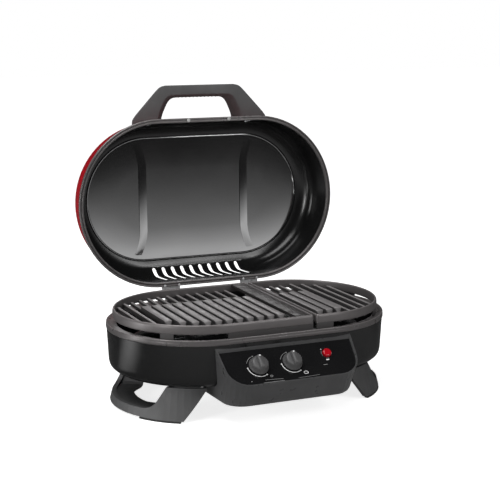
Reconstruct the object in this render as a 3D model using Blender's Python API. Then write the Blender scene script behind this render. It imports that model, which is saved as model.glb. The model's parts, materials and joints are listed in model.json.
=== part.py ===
"""Portable tabletop gas grill, modelled as an assembly of separate pieces.

Units are metres, +Z is up and the table is z = 0. The long side of the grill lies along X and
its control panel faces -Y. Pieces are built round the centre of the cooking bowl, and the root
empty then moves the whole grill so that the origin is the bottom centre of its bounding box.
The lid is built in its closed place, on an empty at the hinge line that holds it open.
"""
import math

import bmesh
import bpy
from mathutils import Matrix, Vector

# ---- driving dimensions ------------------------------------------------------------------
GAP = 0.0003                    # between pieces that touch
END_CENTRE = 0.123              # half distance between the centres of the two round ends
END_STEPS = 18                  # facets round each end of a stadium outline

RIM_TOP = 0.179                 # top edge of the bowl's rim ring
RIM_RADIUS = 0.1950
LEDGE_RADIUS = 0.172            # inner edge of the ledge that the grates stand on
LEDGE_TOP = 0.1750
WALL_TOP_RADIUS = 0.1935
WALL_FOOT = (0.1895, 0.0890)    # radius and height where the wall turns in
FLOOR = (0.1725, 0.0741)        # radius and height of the flat underside
BOWL_WALL = 0.0016
DRAIN_RADIUS = 0.018

GRATE_RADIUS = 0.1808
GRATE_BAND = (0.1877, 0.2073)   # bottom and top of the raised rim of the grates
GRATE_BAR = (0.1860, 0.1930)    # bottom and top of the low ends of the bars
PLATEAU_TOP = 0.2030
THIN_BAR_TOP = 0.1965           # top of the bars that stay thin
BAR_PITCH = 0.0242
BAR_HALVES = (0.0038, 0.0088)   # half width of a thin bar and of a wide one
RAISED_RADIUS = 0.1288          # the bars are raised inside this outline
RAISED_BACK = 0.060             # and as far back as this
GRATE_SPLIT = (0.0765, 0.0815)  # right side of the large grate, left side of the small one
FLAT_STRIP_WIDTH = 0.0380

HINGE_Y = 0.2107
HINGE_Z = 0.1911
HINGE_X = 0.0995
HINGE_SCREW_Y = (0.1918, 0.1980)
LID_OPEN_DEG = 92.0
LID_RIM = (0.1815, 0.1885)      # closed lid: bottom and top of its rim band
LID_RIM_RADII = (0.184, 0.1945)
LID_SHEET = 0.0014
LID_SKIRT_RADII = (0.1878, 0.1832)   # outer radius at the rim and at the start of the shoulder
LID_SHOULDER = 0.039            # outer radius of the shoulder
SHOULDER_STEPS = 6
LID_HEIGHT = 0.2842             # top of the closed lid, before its slight crown
VENTS = 10
VENT_PITCH = 0.0236

HANDLE_HALF = (0.1705, 0.0945)  # half width at the root and at the grip
HANDLE_REACH = (-0.1905, -0.2440, -0.2690)   # y of the root, inner and outer side of the grip
HANDLE_HOLE_HALF = (0.1130, 0.0760)
HANDLE_Z = (0.2330, 0.2600, 0.2570)          # underside, top at the root, top at the grip
HANDLE_LEAN = (0.0150, 0.0060)  # how far the top of the arch leans inwards and towards the lid

PANEL_TOP = (-0.196, 0.1565)    # y and z where the sloping rim of the panel starts
PANEL_SLOPE = math.radians(42)
HOUSING_BOTTOM = 0.0430
HOUSING_TOP = 0.1620
HOUSING_HALF = (0.1490, 0.090)  # half width at the bottom, and what it gains per metre of height
HOUSING_FRONT = (-0.2420, -0.41)     # y of the front at the bottom, and its slope
HOUSING_BACK = -0.1080
HOUSING_TAPER = 0.032           # half width lost per metre towards the front
HOUSING_CORNER = 0.044
HOUSING_WALL = 0.003
FASCIA_RECESS = 0.003
FASCIA_THICK = 0.0025
KNOB_X = (-0.0755, 0.0015)
KNOB_DOWN = 0.0447              # down the slope from the top of the panel
KNOB_RADIUS = 0.0215
KNOB_HEIGHT = 0.0235
BUTTON_X = 0.086
BUTTON_DOWN = 0.0337
BUTTON_RADIUS = 0.0098
BUTTON_HEIGHT = 0.0075

LEG_RADIUS = 0.190              # outer radius of the legs at the table
LEG_TAPER = 0.271               # radius lost per metre of height
LEG_THICK = 0.010
LEG_TOP = 0.0738                # top of the flanges that meet the bowl
LEG_SKIN_TOP = 0.0708           # top of the outer wall, just short of the bowl
LEG_FOOT = 0.0043
PAD_ANGLES = (29.0, 58.5)
PAD_STEPS = 6

TRAY_HALF = 0.058
TRAY_Y = (-0.100, 0.122)
TRAY_Z = (0.0505, 0.0695)
ELECTRODE_X = (-0.118, 0.050)
ELECTRODE_Z = 0.118
BURNER_Z = 0.135
BURNER_RADIUS = 0.008
GAS_Z = 0.1047                  # height of the valve outlets and venturi inlets
MANIFOLD = (-0.2065, 0.0840)    # y and z of the gas manifold inside the housing

DOWN_SLOPE = Vector((0, -math.cos(PANEL_SLOPE), -math.sin(PANEL_SLOPE)))
OUT_OF_PANEL = Vector((0, -math.sin(PANEL_SLOPE), math.cos(PANEL_SLOPE)))


# ---- general helpers ---------------------------------------------------------------------
def clear_scene():
    for item in list(bpy.data.objects):
        bpy.data.objects.remove(item, do_unlink=True)


def material(name, colour, roughness, metallic=0.0):
    made = bpy.data.materials.new(name)
    made.use_nodes = True
    shader = made.node_tree.nodes["Principled BSDF"]
    shader.inputs["Base Color"].default_value = (*colour, 1.0)
    shader.inputs["Roughness"].default_value = roughness
    shader.inputs["Metallic"].default_value = metallic
    made.diffuse_color = (*colour, 1.0)
    return made


FINISHES = {
    "black_paint": ((0.020, 0.020, 0.021), 0.38, 0.0),
    "rim_enamel": ((0.115, 0.108, 0.106), 0.42, 0.3),
    "cast_grate": ((0.095, 0.088, 0.088), 0.55, 0.4),
    "red_enamel": ((0.30, 0.010, 0.016), 0.22, 0.0),
    "black_plastic": ((0.045, 0.045, 0.046), 0.50, 0.0),
    "gloss_black": ((0.010, 0.010, 0.011), 0.12, 0.0),
    "leg_plastic": ((0.060, 0.060, 0.061), 0.55, 0.0),
    "red_plastic": ((0.62, 0.012, 0.014), 0.25, 0.0),
    "brass": ((0.55, 0.40, 0.16), 0.30, 1.0),
    "steel": ((0.52, 0.52, 0.53), 0.32, 1.0),
    "zinc": ((0.42, 0.43, 0.44), 0.45, 1.0),
    "ceramic": ((0.82, 0.80, 0.76), 0.40, 0.0),
    "rubber": ((0.025, 0.025, 0.025), 0.80, 0.0),
    "wire_sleeve": ((0.30, 0.05, 0.04), 0.60, 0.0),
}


def mesh_object(name, mesh, finish=None, parent=None):
    item = bpy.data.objects.new(name, mesh)
    bpy.context.scene.collection.objects.link(item)
    item.parent = parent
    if finish:
        mesh.materials.append(material(name + "_finish", *FINISHES[finish]))
    return item


def finish_mesh(bm, name, smooth_degrees=30):
    bmesh.ops.recalc_face_normals(bm, faces=bm.faces)
    mesh = bpy.data.meshes.new(name)
    bm.to_mesh(mesh)
    bm.free()
    mesh.shade_smooth()
    mesh.set_sharp_from_angle(angle=math.radians(smooth_degrees))
    return mesh


def add_loft(bm, sections, closed=False):
    """Quads between loops of points. The first and last loop are capped, or joined if closed."""
    rings = [[bm.verts.new(point) for point in section] for section in sections]
    pairs = list(zip(rings, rings[1:]))
    if closed:
        pairs.append((rings[-1], rings[0]))
    else:
        bm.faces.new(rings[0])
        bm.faces.new(rings[-1])
    for lower, upper in pairs:
        for i in range(len(lower)):
            j = (i + 1) % len(lower)
            bm.faces.new((lower[i], lower[j], upper[j], upper[i]))


def loft(name, sections, finish=None, parent=None, closed=False):
    bm = bmesh.new()
    add_loft(bm, sections, closed)
    return mesh_object(name, finish_mesh(bm, name), finish, parent)


def lofts(name, groups, finish=None, parent=None):
    """Several lofts that stay apart, in one mesh."""
    bm = bmesh.new()
    for sections in groups:
        add_loft(bm, sections)
    return mesh_object(name, finish_mesh(bm, name), finish, parent)


def stadium(radius, z, steps=END_STEPS):
    """Outline with two round ends, whose centres lie END_CENTRE to each side."""
    points = []
    for side, start in ((1, -90), (-1, 90)):
        for i in range(steps + 1):
            angle = math.radians(start + 180 * i / steps)
            points.append(Vector((side * END_CENTRE + radius * math.cos(angle),
                                  radius * math.sin(angle), z)))
    return points


def stadium_loft(name, profile, finish=None, parent=None, closed=False, shift=(0, 0, 0)):
    """A profile of (radius, height) points carried round the stadium."""
    sections = [[p + Vector(shift) for p in stadium(r, z)] for r, z in profile]
    return loft(name, sections, finish, parent, closed)


def box_sections(low, high):
    (x0, y0, z0), (x1, y1, z1) = low, high
    return [[Vector((x0, y0, z)), Vector((x1, y0, z)), Vector((x1, y1, z)), Vector((x0, y1, z))]
            for z in (z0, z1)]


def circle(centre, axis, radius, steps):
    turn = Vector(axis).to_track_quat("Z", "Y")
    return [Vector(centre) + turn @ Vector((radius * math.cos(2 * math.pi * i / steps),
                                            radius * math.sin(2 * math.pi * i / steps), 0))
            for i in range(steps)]


def rod_sections(start, end, radius, steps=16):
    axis = Vector(end) - Vector(start)
    return [circle(start, axis, radius, steps), circle(end, axis, radius, steps)]


def turned(name, start, axis, profile, finish, parent=None, steps=24, bore=None):
    """A solid of revolution: profile holds (radius, distance along the axis) points.

    bore is (radius, depth) of a blind hole that opens at the first point.
    """
    axis = Vector(axis).normalized()
    sections = [circle(Vector(start) + axis * d, axis, r, steps) for r, d in profile]
    if bore:
        radius, depth = bore
        first = profile[0][1]
        bore_ends = (first + depth, first)
        sections = [circle(Vector(start) + axis * d, axis, radius, steps) for d in bore_ends] + sections
    return loft(name, sections, finish, parent)


def combine(target, other, operation="DIFFERENCE"):
    """Boolean with a helper object, which stays in the file as a hidden wire shape."""
    other.parent = target.parent
    other.hide_render = True
    other.display_type = "WIRE"
    modifier = target.modifiers.new(other.name, "BOOLEAN")
    modifier.object = other
    modifier.operation = operation
    modifier.solver = "EXACT"


def smooth_route(points, per_span=6):
    """Catmull-Rom curve through the points."""
    points = [Vector(p) for p in points]
    padded = [2 * points[0] - points[1]] + points + [2 * points[-1] - points[-2]]
    route = []
    for a, b, c, d in zip(padded, padded[1:], padded[2:], padded[3:]):
        for i in range(per_span):
            t = i / per_span
            route.append(0.5 * (2 * b + (c - a) * t + (2 * a - 5 * b + 4 * c - d) * t ** 2
                                + (3 * b - a - 3 * c + d) * t ** 3))
    return route + [points[-1]]


def tube(name, points, radius, finish, parent, resolution=2, per_span=4):
    curve = bpy.data.curves.new(name, "CURVE")
    curve.dimensions = "3D"
    curve.bevel_depth = radius
    curve.bevel_resolution = resolution
    curve.use_fill_caps = True
    spline = curve.splines.new("POLY")
    route = smooth_route(points, per_span)
    spline.points.add(len(route) - 1)
    for slot, point in zip(spline.points, route):
        slot.co = (*point, 1.0)
    item = bpy.data.objects.new(name, curve)
    bpy.context.scene.collection.objects.link(item)
    item.parent = parent
    curve.materials.append(material(name + "_finish", *FINISHES[finish]))
    return item


def empty(name, place, parent=None, turn_x=0.0):
    item = bpy.data.objects.new(name, None)
    bpy.context.scene.collection.objects.link(item)
    item.parent = parent
    item.location = place
    item.rotation_euler = (turn_x, 0, 0)
    return item


def arc(centre_r, centre_z, radius, start, end, steps):
    """(radius, height) points of a round stretch in a profile, angles in degrees."""
    return [(centre_r + radius * math.cos(math.radians(start + (end - start) * i / steps)),
             centre_z + radius * math.sin(math.radians(start + (end - start) * i / steps)))
            for i in range(steps + 1)]


# ---- bowl and its rim --------------------------------------------------------------------
def bowl_outside(grow=0.0):
    """Outer profile of the bowl from its underside up, made larger by grow."""
    floor_r, floor_z = FLOOR
    foot_r, foot_z = WALL_FOOT
    return [(floor_r + grow, floor_z - grow),
            (floor_r + 0.0085 + grow, floor_z + 0.0050),
            (foot_r - 0.0025 + grow, foot_z - 0.0050),
            (foot_r + grow, foot_z + 0.0040),
            (WALL_TOP_RADIUS + grow, RIM_TOP - 0.0134)]


def base_shell(root):
    outside = bowl_outside()
    inside = [(r - BOWL_WALL, z + BOWL_WALL * 0.7) for r, z in outside[:-1]]
    inside.append((WALL_TOP_RADIUS - BOWL_WALL, outside[-1][1]))
    shell = stadium_loft("base_shell", outside + inside[::-1], "black_paint", root)
    low, high = FLOOR[1] - 0.01, FLOOR[1] + 0.01
    holes = [rod_sections((0, 0, low), (0, 0, high), DRAIN_RADIUS, 24)]
    for x in KNOB_X:
        holes.append(rod_sections((x, -0.21, GAS_Z), (x, -0.17, GAS_Z), BURNER_RADIUS + 0.0015, 20))
    for x in ELECTRODE_X:
        holes.append(rod_sections((x, -0.21, ELECTRODE_Z), (x, -0.17, ELECTRODE_Z), 0.0045))
    for x, y in leg_screw_places():
        holes.append(rod_sections((x, y, low), (x, y, high), 0.0025, 12))
    combine(shell, lofts("base_shell_holes", holes))
    return shell


def base_rim(root):
    top = RIM_TOP
    profile = [(RIM_RADIUS - 0.0022, top), (RIM_RADIUS - 0.0005, top - 0.0010),
               (RIM_RADIUS, top - 0.0025), (RIM_RADIUS, top - 0.0110),
               (RIM_RADIUS - 0.0015, top - 0.0130), (0.1885, top - 0.0130),
               (LEDGE_RADIUS, LEDGE_TOP - 0.0060), (LEDGE_RADIUS, LEDGE_TOP),
               (0.1850, LEDGE_TOP), (0.1880, LEDGE_TOP + 0.0020), (0.1915, top - 0.0004)]
    return stadium_loft("base_rim", profile, "rim_enamel", root, closed=True)


# ---- cooking grates ----------------------------------------------------------------------
def half_depth(x, radius):
    beyond = max(abs(x) - END_CENTRE, 0.0)
    return math.sqrt(max(radius ** 2 - beyond ** 2, 0.0))


def grate_outline(radius, x0, x1, z, inset=0.0):
    """Part of the stadium between two cuts across it."""
    low, high = x0 + inset, x1 - inset
    corners = {low, high}
    for i in range(END_STEPS + 1):
        angle = math.radians(-90 + 180 * i / END_STEPS)
        corners.update((END_CENTRE + radius * math.cos(angle), -END_CENTRE - radius * math.cos(angle)))
    xs = sorted(x for x in corners if low - 1e-6 <= x <= high + 1e-6)
    xs = [x for i, x in enumerate(xs) if i == 0 or x - xs[i - 1] > 1e-4]
    points = [Vector((x, -half_depth(x, radius), z)) for x in xs]
    back = [x for x in reversed(xs) if half_depth(x, radius) > 1e-5]
    return points + [Vector((x, half_depth(x, radius), z)) for x in back]


def bar_sections(x, wide):
    """One bar from front to back. A wide one is raised, but low and thin at its ends."""
    low = GRATE_BAR[0]
    end_top = GRATE_BAR[1] if wide else THIN_BAR_TOP
    reach, ramp = half_depth(x, GRATE_RADIUS - 0.003), 0.007
    thin, half = BAR_HALVES
    front = -half_depth(x, RAISED_RADIUS)
    back = min(-front, RAISED_BACK)
    stations = [(-reach, thin, end_top)]
    if wide:
        stations += [(front - ramp, thin, end_top), (front, half, PLATEAU_TOP),
                     (back, half, PLATEAU_TOP), (back + ramp, thin, end_top)]
    stations.append((reach, thin, end_top))
    return [[Vector((x - w, y, low)), Vector((x + w, y, low)),
             Vector((x + w * 0.9, y, z)), Vector((x - w * 0.9, y, z))]
            for y, w, z in stations]


def grate_feet(spans):
    """Stretches of skirt under the grate's rim, each from one angle or x to another."""
    groups = []
    for centre, a0, a1, low in spans:
        sections = []
        steps = 5
        for i in range(steps + 1):
            angle = math.radians(a0 + (a1 - a0) * i / steps)
            ring = []
            for r, z in ((GRATE_RADIUS - 0.0040, low), (GRATE_RADIUS - 0.0006, low),
                         (GRATE_RADIUS - 0.0006, GRATE_BAND[0] + 0.002),
                         (GRATE_RADIUS - 0.0040, GRATE_BAND[0] + 0.002)):
                ring.append(Vector((centre + r * math.cos(angle), r * math.sin(angle), z)))
            sections.append(ring)
        groups.append(sections)
    return groups


def straight_skirt(x0, x1, side, depth):
    """A stretch of skirt along the straight front (side -1) or back (side 1)."""
    ys = sorted((side * depth, side * (depth - 0.0036)))
    return box_sections((x0, ys[0], LEDGE_TOP + GAP), (x1, ys[1], GRATE_BAND[0] + 0.002))


def grate(name, x0, x1, bars, feet, skirts, root, strip=None):
    band = 0.0058
    bottom, top = GRATE_BAND
    outer = [grate_outline(GRATE_RADIUS, x0, x1, z) for z in (bottom, top)]
    frame = loft(name, outer, "cast_grate", root)
    inner = [grate_outline(GRATE_RADIUS - band, x0, x1, z, band) for z in (bottom - 0.01, top + 0.01)]
    combine(frame, loft(name + "_window", inner))
    combine(frame, lofts(name + "_bars", bars), "UNION")
    if strip:
        combine(frame, lofts(name + "_strip", [strip]), "UNION")
    combine(frame, lofts(name + "_feet", grate_feet(feet)), "UNION")
    if skirts:
        combine(frame, lofts(name + "_skirts", skirts), "UNION")
    return frame


def grates(root):
    low = LEDGE_TOP + GAP
    depth = GRATE_RADIUS - 0.003
    split_left, split_right = GRATE_SPLIT
    strip_x = (split_left - FLAT_STRIP_WIDTH, split_left - 0.002)
    left_end, right_end = -END_CENTRE - GRATE_RADIUS, END_CENTRE + GRATE_RADIUS
    first = strip_x[0] - 0.0153
    left_bars = [bar_sections(first - BAR_PITCH * k, k < 11) for k in range(13)]
    strip = box_sections((strip_x[0], -depth, 0.1985), (strip_x[1], depth, 0.2055))
    left_feet = [(-END_CENTRE, 224.2, 233.5, low), (-END_CENTRE, 126.5, 135.8, low)]
    left_skirts = [straight_skirt(-0.121, 0.0745, side, GRATE_RADIUS - 0.0016) for side in (-1, 1)]
    grate("grate_left", left_end, split_left, left_bars, left_feet, left_skirts, root, strip)
    first = split_right + 0.0343
    right_bars = [bar_sections(split_right + 0.0145, False)]
    right_bars += [bar_sections(first + BAR_PITCH * k, k < 3) for k in range(7)]
    right_feet = [(END_CENTRE, -45.0, -36.0, low), (END_CENTRE, 14.0, 40.0, low)]
    right_skirts = [straight_skirt(0.0830, 0.1225, side, GRATE_RADIUS - 0.0001) for side in (-1, 1)]
    grate("grate_right", split_right, right_end, right_bars, right_feet, right_skirts, root)


# ---- lid, rim band, handle ---------------------------------------------------------------
def lid_outside(grow=0.0):
    """Outer profile of the closed lid from its skirt to its crown."""
    skirt, shoulder = LID_SKIRT_RADII
    centre_r, centre_z = shoulder - LID_SHOULDER, LID_HEIGHT - LID_SHOULDER
    profile = [(skirt + grow, LID_RIM[1] + GAP)]
    profile += arc(centre_r, centre_z, LID_SHOULDER + grow, 0, 90, SHOULDER_STEPS)
    profile += [(0.090, LID_HEIGHT + 0.0012 + grow), (0.030, LID_HEIGHT + 0.0020 + grow)]
    return profile


def lid_shell(pivot, shift):
    outside = lid_outside()
    inside = lid_outside(-LID_SHEET)[::-1]
    shell = stadium_loft("lid_shell", outside[::-1] + inside[::-1], "red_enamel", pivot, shift=shift)
    combine(shell, lofts("lid_vent_cutter", [vent_sections(i, shift) for i in range(VENTS)]))
    combine(shell, lofts("lid_screw_cutter", handle_screw_holes(0.0025, shift)))
    return shell


def vent_sections(index, shift):
    """One J shaped slot through the shoulder of the lid's back wall."""
    half, x = 0.0044, VENT_PITCH * (index - (VENTS - 1) / 2)
    path = [(-0.0035, 0.2740), (-0.0030, 0.2560), (0.0, 0.2370), (0.0070, 0.2215)]
    sections = []
    for i, (dx, z) in enumerate(path):
        lean = 0.0 if i < 2 else 0.0015
        sections.append([Vector((x + dx - half, 0.150, z + lean)) + Vector(shift),
                         Vector((x + dx + half, 0.150, z - lean)) + Vector(shift),
                         Vector((x + dx + half, 0.200, z - lean)) + Vector(shift),
                         Vector((x + dx - half, 0.200, z + lean)) + Vector(shift)])
    return sections


def lid_rim(pivot, shift):
    low, high = LID_RIM
    inner, outer = LID_RIM_RADII
    profile = [(inner, low + 0.0015), (inner + 0.0012, low), (inner + 0.0040, low),
               (inner + 0.0050, low + 0.0014), (inner + 0.0068, low + 0.0014),
               (inner + 0.0078, low), (outer - 0.0015, low), (outer, low + 0.0015),
               (outer, high - 0.0012), (outer - 0.0012, high), (inner + 0.0006, high),
               (inner, high - 0.0006)]
    rim = stadium_loft("lid_rim", profile, "rim_enamel", pivot, closed=True, shift=shift)
    holes = [rod_sections(Vector((x, HINGE_SCREW_Y[0], low - 0.01)) + Vector(shift),
                          Vector((x, HINGE_SCREW_Y[0], high + 0.01)) + Vector(shift), 0.0018, 12)
             for x in hinge_screw_xs()]
    combine(rim, lofts("lid_rim_holes", holes))
    return rim


def handle_outline(z, top):
    """Plan of the handle arch at its underside or top; the roots are trimmed to the lid."""
    root_y, inner_y, outer_y = HANDLE_REACH
    root, grip = HANDLE_HALF
    hole_root, hole_grip = HANDLE_HOLE_HALF
    half = [(root, -0.150), (root, root_y), (root - 0.0080, root_y - 0.0110),
            (grip + 0.0140, outer_y + 0.0100), (grip + 0.0040, outer_y + 0.0022),
            (grip - 0.0080, outer_y)]
    hole = [(hole_grip - 0.0110, inner_y), (hole_grip + 0.0025, inner_y + 0.0030),
            (hole_grip + 0.0120, inner_y + 0.0110), (hole_grip + 0.0230, inner_y + 0.0320),
            (hole_root - 0.0090, -0.196), (hole_root, -0.150)]
    right = [Vector((x, y, z)) for x, y in half]
    left = [Vector((-x, y, z)) for x, y in reversed(half)]
    inner_left = [Vector((-x, y, z)) for x, y in reversed(hole)]
    inner_right = [Vector((x, y, z)) for x, y in hole]
    loop = right + left + inner_left + inner_right
    if top:
        root_top, grip_top = HANDLE_Z[1], HANDLE_Z[2]
        for point in loop:
            share = min(max((root_y - point.y) / (root_y - inner_y), 0.0), 1.0)
            point.z = root_top + (grip_top - root_top) * share
            point.x -= math.copysign(HANDLE_LEAN[0], point.x)
            point.y += HANDLE_LEAN[1]
    return loop


def lid_handle(pivot, shift):
    sections = [[p + Vector(shift) for p in handle_outline(HANDLE_Z[0], False)],
                [p + Vector(shift) for p in handle_outline(HANDLE_Z[1], True)]]
    bm = bmesh.new()
    add_loft(bm, sections)
    bmesh.ops.triangulate(bm, faces=[f for f in bm.faces if len(f.verts) > 4])
    handle = mesh_object("lid_handle", finish_mesh(bm, "lid_handle"), "black_plastic", pivot)
    body = stadium_loft("lid_handle_trim", lid_outside(GAP + 0.0001), shift=shift)
    combine(handle, body)
    combine(handle, lofts("lid_handle_holes", handle_screw_holes(0.0019, shift)))
    return handle


def handle_screw_places():
    return [(side * 0.126, z) for side in (-1, 1) for z in (0.2385, 0.2530)]


def handle_screw_holes(radius, shift):
    return [rod_sections(Vector((x, -0.2105, z)) + Vector(shift), Vector((x, -0.1500, z)) + Vector(shift),
                         radius, 12) for x, z in handle_screw_places()]


def lid_inner_radius(height):
    """Inner radius of the closed lid's wall or shoulder at a height."""
    skirt, shoulder = LID_SKIRT_RADII
    centre_z = LID_HEIGHT - LID_SHOULDER
    if height < centre_z:
        share = (height - LID_RIM[1]) / (centre_z - LID_RIM[1])
        return skirt + (shoulder - skirt) * share - LID_SHEET
    bend = LID_SHOULDER - LID_SHEET
    return shoulder - LID_SHOULDER + math.sqrt(bend ** 2 - (height - centre_z) ** 2)


def lid_fittings(pivot, shift):
    shift = Vector(shift)
    for n, (x, z) in enumerate(handle_screw_places()):
        side = "left" if x < 0 else "right"
        head, radius = 0.0022, 0.0042
        wall = half_depth(abs(x) + radius, lid_inner_radius(z + radius) - GAP)
        turned(f"handle_screw_{side}_{n % 2 + 1}", Vector((x, head + GAP - wall, z)) + shift, (0, -1, 0),
               [(0.0030, 0.0), (radius, 0.0010), (radius, head), (0.0016, head + 0.0001),
                (0.0016, 0.0300)], "steel", pivot, 12)
    for side, x in (("left", -0.0505), ("right", 0.0505)):
        turned("lid_bumper_" + side, Vector((x, -0.1905, LID_RIM[0] - GAP)) + shift, (0, 0, -1),
               [(0.0036, 0.0), (0.0036, 0.0012), (0.0028, 0.0020)], "rubber", pivot, 12)


# ---- hinges ------------------------------------------------------------------------------
def hinge_screw_xs():
    return [side * HINGE_X + offset for side in (-1, 1) for offset in (-0.0175, 0.0175)]


def hinge(side, x, root, pivot, shift):
    shift = Vector(shift)
    axis = Vector((x, HINGE_Y, HINGE_Z))
    mid, outer, pin, knuckle = 0.0083, 0.0200, 0.0020, 0.0040
    across = Vector((1, 0, 0))

    face = RIM_RADIUS + GAP
    leaf = loft("hinge_base_leaf_" + side,
                box_sections((x - outer, face, 0.1500), (x + outer, face + 0.0020, 0.1860)), "zinc", root)
    webs, knuckles = [], []
    for a, b in ((-outer, -mid - 0.0005), (mid + 0.0005, outer)):
        webs.append(box_sections((x + a, face + 0.0005, 0.1838), (x + b, HINGE_Y, 0.1884)))
        knuckles.append(rod_sections(axis + across * a, axis + across * b, knuckle))
    combine(leaf, lofts(f"hinge_base_webs_{side}", webs), "UNION")
    combine(leaf, lofts(f"hinge_base_knuckles_{side}", knuckles), "UNION")
    bore = rod_sections(axis - across * 0.04, axis + across * 0.04, pin + GAP, 12)
    combine(leaf, lofts(f"hinge_base_bore_{side}", [bore]))

    low = LID_RIM[1] + 0.0004
    plate = [[p + shift for p in ring] for ring in
             box_sections((x - 0.0225, 0.1890, low), (x + 0.0225, 0.2062, low + 0.0020))]
    tongue = [[p + shift for p in ring] for ring in
              box_sections((x - mid, 0.2040, low + 0.0002), (x + mid, HINGE_Y, low + 0.0018))]
    barrel = rod_sections(axis - across * mid + shift, axis + across * mid + shift, knuckle)
    lid_leaf = loft("hinge_lid_leaf_" + side, plate, "zinc", pivot)
    combine(lid_leaf, lofts(f"hinge_tongue_{side}", [tongue]), "UNION")
    combine(lid_leaf, lofts(f"hinge_barrel_{side}", [barrel]), "UNION")
    bore = rod_sections(axis - across * 0.04 + shift, axis + across * 0.04 + shift, pin + GAP, 12)
    places = [(x - 0.0175, HINGE_SCREW_Y[0], LID_RIM[0]), (x + 0.0175, HINGE_SCREW_Y[0], LID_RIM[0]),
              (x, HINGE_SCREW_Y[1], low)]
    holes = [rod_sections(Vector((sx, sy, low - 0.01)) + shift, Vector((sx, sy, low + 0.01)) + shift,
                          0.0018, 12) for sx, sy, _ in places]
    combine(lid_leaf, lofts(f"hinge_lid_bore_{side}", [bore]))
    combine(lid_leaf, lofts(f"hinge_lid_holes_{side}", holes))
    head = 0.0012
    for n, (sx, sy, seat) in enumerate(places):
        turned(f"hinge_screw_{side}_{n + 1}", Vector((sx, sy, seat - head)) + shift, (0, 0, 1),
               [(0.0020, 0.0), (0.0031, 0.0004), (0.0031, head - GAP), (0.0014, head - GAP + 0.0001),
                (0.0014, low + 0.0045 - seat)], "steel", pivot, 12)
    turned("hinge_pin_" + side, axis - across * (outer + 0.0015), across,
           [(pin, 0.0), (pin, 2 * outer + 0.0030)], "steel", root, 12)


# ---- control panel -----------------------------------------------------------------------
def panel_point(x, down, out):
    return Vector((x, *PANEL_TOP)) + DOWN_SLOPE * down + OUT_OF_PANEL * out


def slope_box(half_width, down, out):
    """A box laid along the sloping panel, from two distances down it and two out of it."""
    return [[panel_point(-half_width, down[0], n), panel_point(half_width, down[0], n),
             panel_point(half_width, down[1], n), panel_point(-half_width, down[1], n)] for n in out]


def housing_outline(z, inset, back):
    rise = z - HOUSING_BOTTOM
    half = HOUSING_HALF[0] + HOUSING_HALF[1] * rise - inset
    front = HOUSING_FRONT[0] + HOUSING_FRONT[1] * rise + inset
    corner = HOUSING_CORNER - inset
    right = [Vector((half, back, z))]
    for i in range(7):
        angle = math.radians(-90 * i / 6)
        right.append(Vector((half - corner + corner * math.cos(angle),
                             front + corner + corner * math.sin(angle), z)))
    for point in right:
        point.x -= HOUSING_TAPER * (HOUSING_BACK - point.y)
    return right + [Vector((-p.x, p.y, z)) for p in reversed(right)]


def housing_solid(name, inset, back, low, high, finish=None, root=None):
    levels = [(low, inset), (high, inset)]
    if finish:
        levels = [(low, 0.0105), (low + 0.0018, 0.0052), (low + 0.0052, 0.0017),
                  (low + 0.0105, 0.0), (high, 0.0)]
    return loft(name, [housing_outline(z, n, back) for z, n in levels], finish, root)


def control_housing(root):
    wall = HOUSING_WALL
    strip_back = PANEL_TOP[0] - 0.0005
    housing = housing_solid("control_housing", 0, HOUSING_BACK, HOUSING_BOTTOM, HOUSING_TOP,
                            "black_plastic", root)
    combine(housing, loft("housing_slope", slope_box(0.3, (-0.05, 0.2), (0.0, 0.15))))
    combine(housing, stadium_loft("housing_bowl_gap", bowl_outside(0.0005)))
    floor = HOUSING_BOTTOM + wall
    combine(housing, housing_solid("housing_inside", wall, HOUSING_BACK - wall, floor, 0.146))
    combine(housing, housing_solid("housing_mouth", wall + 0.0002, strip_back, 0.140, 0.20))
    inlet = rod_sections((0.13, MANIFOLD[0], MANIFOLD[1]), (0.17, MANIFOLD[0], MANIFOLD[1]), 0.0078)
    combine(housing, lofts("housing_inlet_hole", [inlet]))


def control_fascia(root):
    strip_back = PANEL_TOP[0] - 0.0010
    edge = HOUSING_WALL + 0.0004
    fascia = housing_solid("control_fascia", edge, strip_back, HOUSING_BOTTOM + 0.01, 0.20)
    fascia.parent = root
    fascia.data.materials.append(material("control_fascia_finish", *FINISHES["gloss_black"]))
    face = -FASCIA_RECESS
    slab = slope_box(0.3, (-0.05, 0.2), (face - FASCIA_THICK, face))
    combine(fascia, loft("fascia_slab", slab), "INTERSECT")
    holes = [rod_sections(panel_point(x, KNOB_DOWN, face - 0.02), panel_point(x, KNOB_DOWN, face + 0.02),
                          0.0040) for x in KNOB_X]
    holes.append(rod_sections(panel_point(BUTTON_X, BUTTON_DOWN, face - 0.02),
                              panel_point(BUTTON_X, BUTTON_DOWN, face + 0.02), BUTTON_RADIUS + 0.0006, 24))
    combine(fascia, lofts("fascia_holes", holes))


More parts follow.
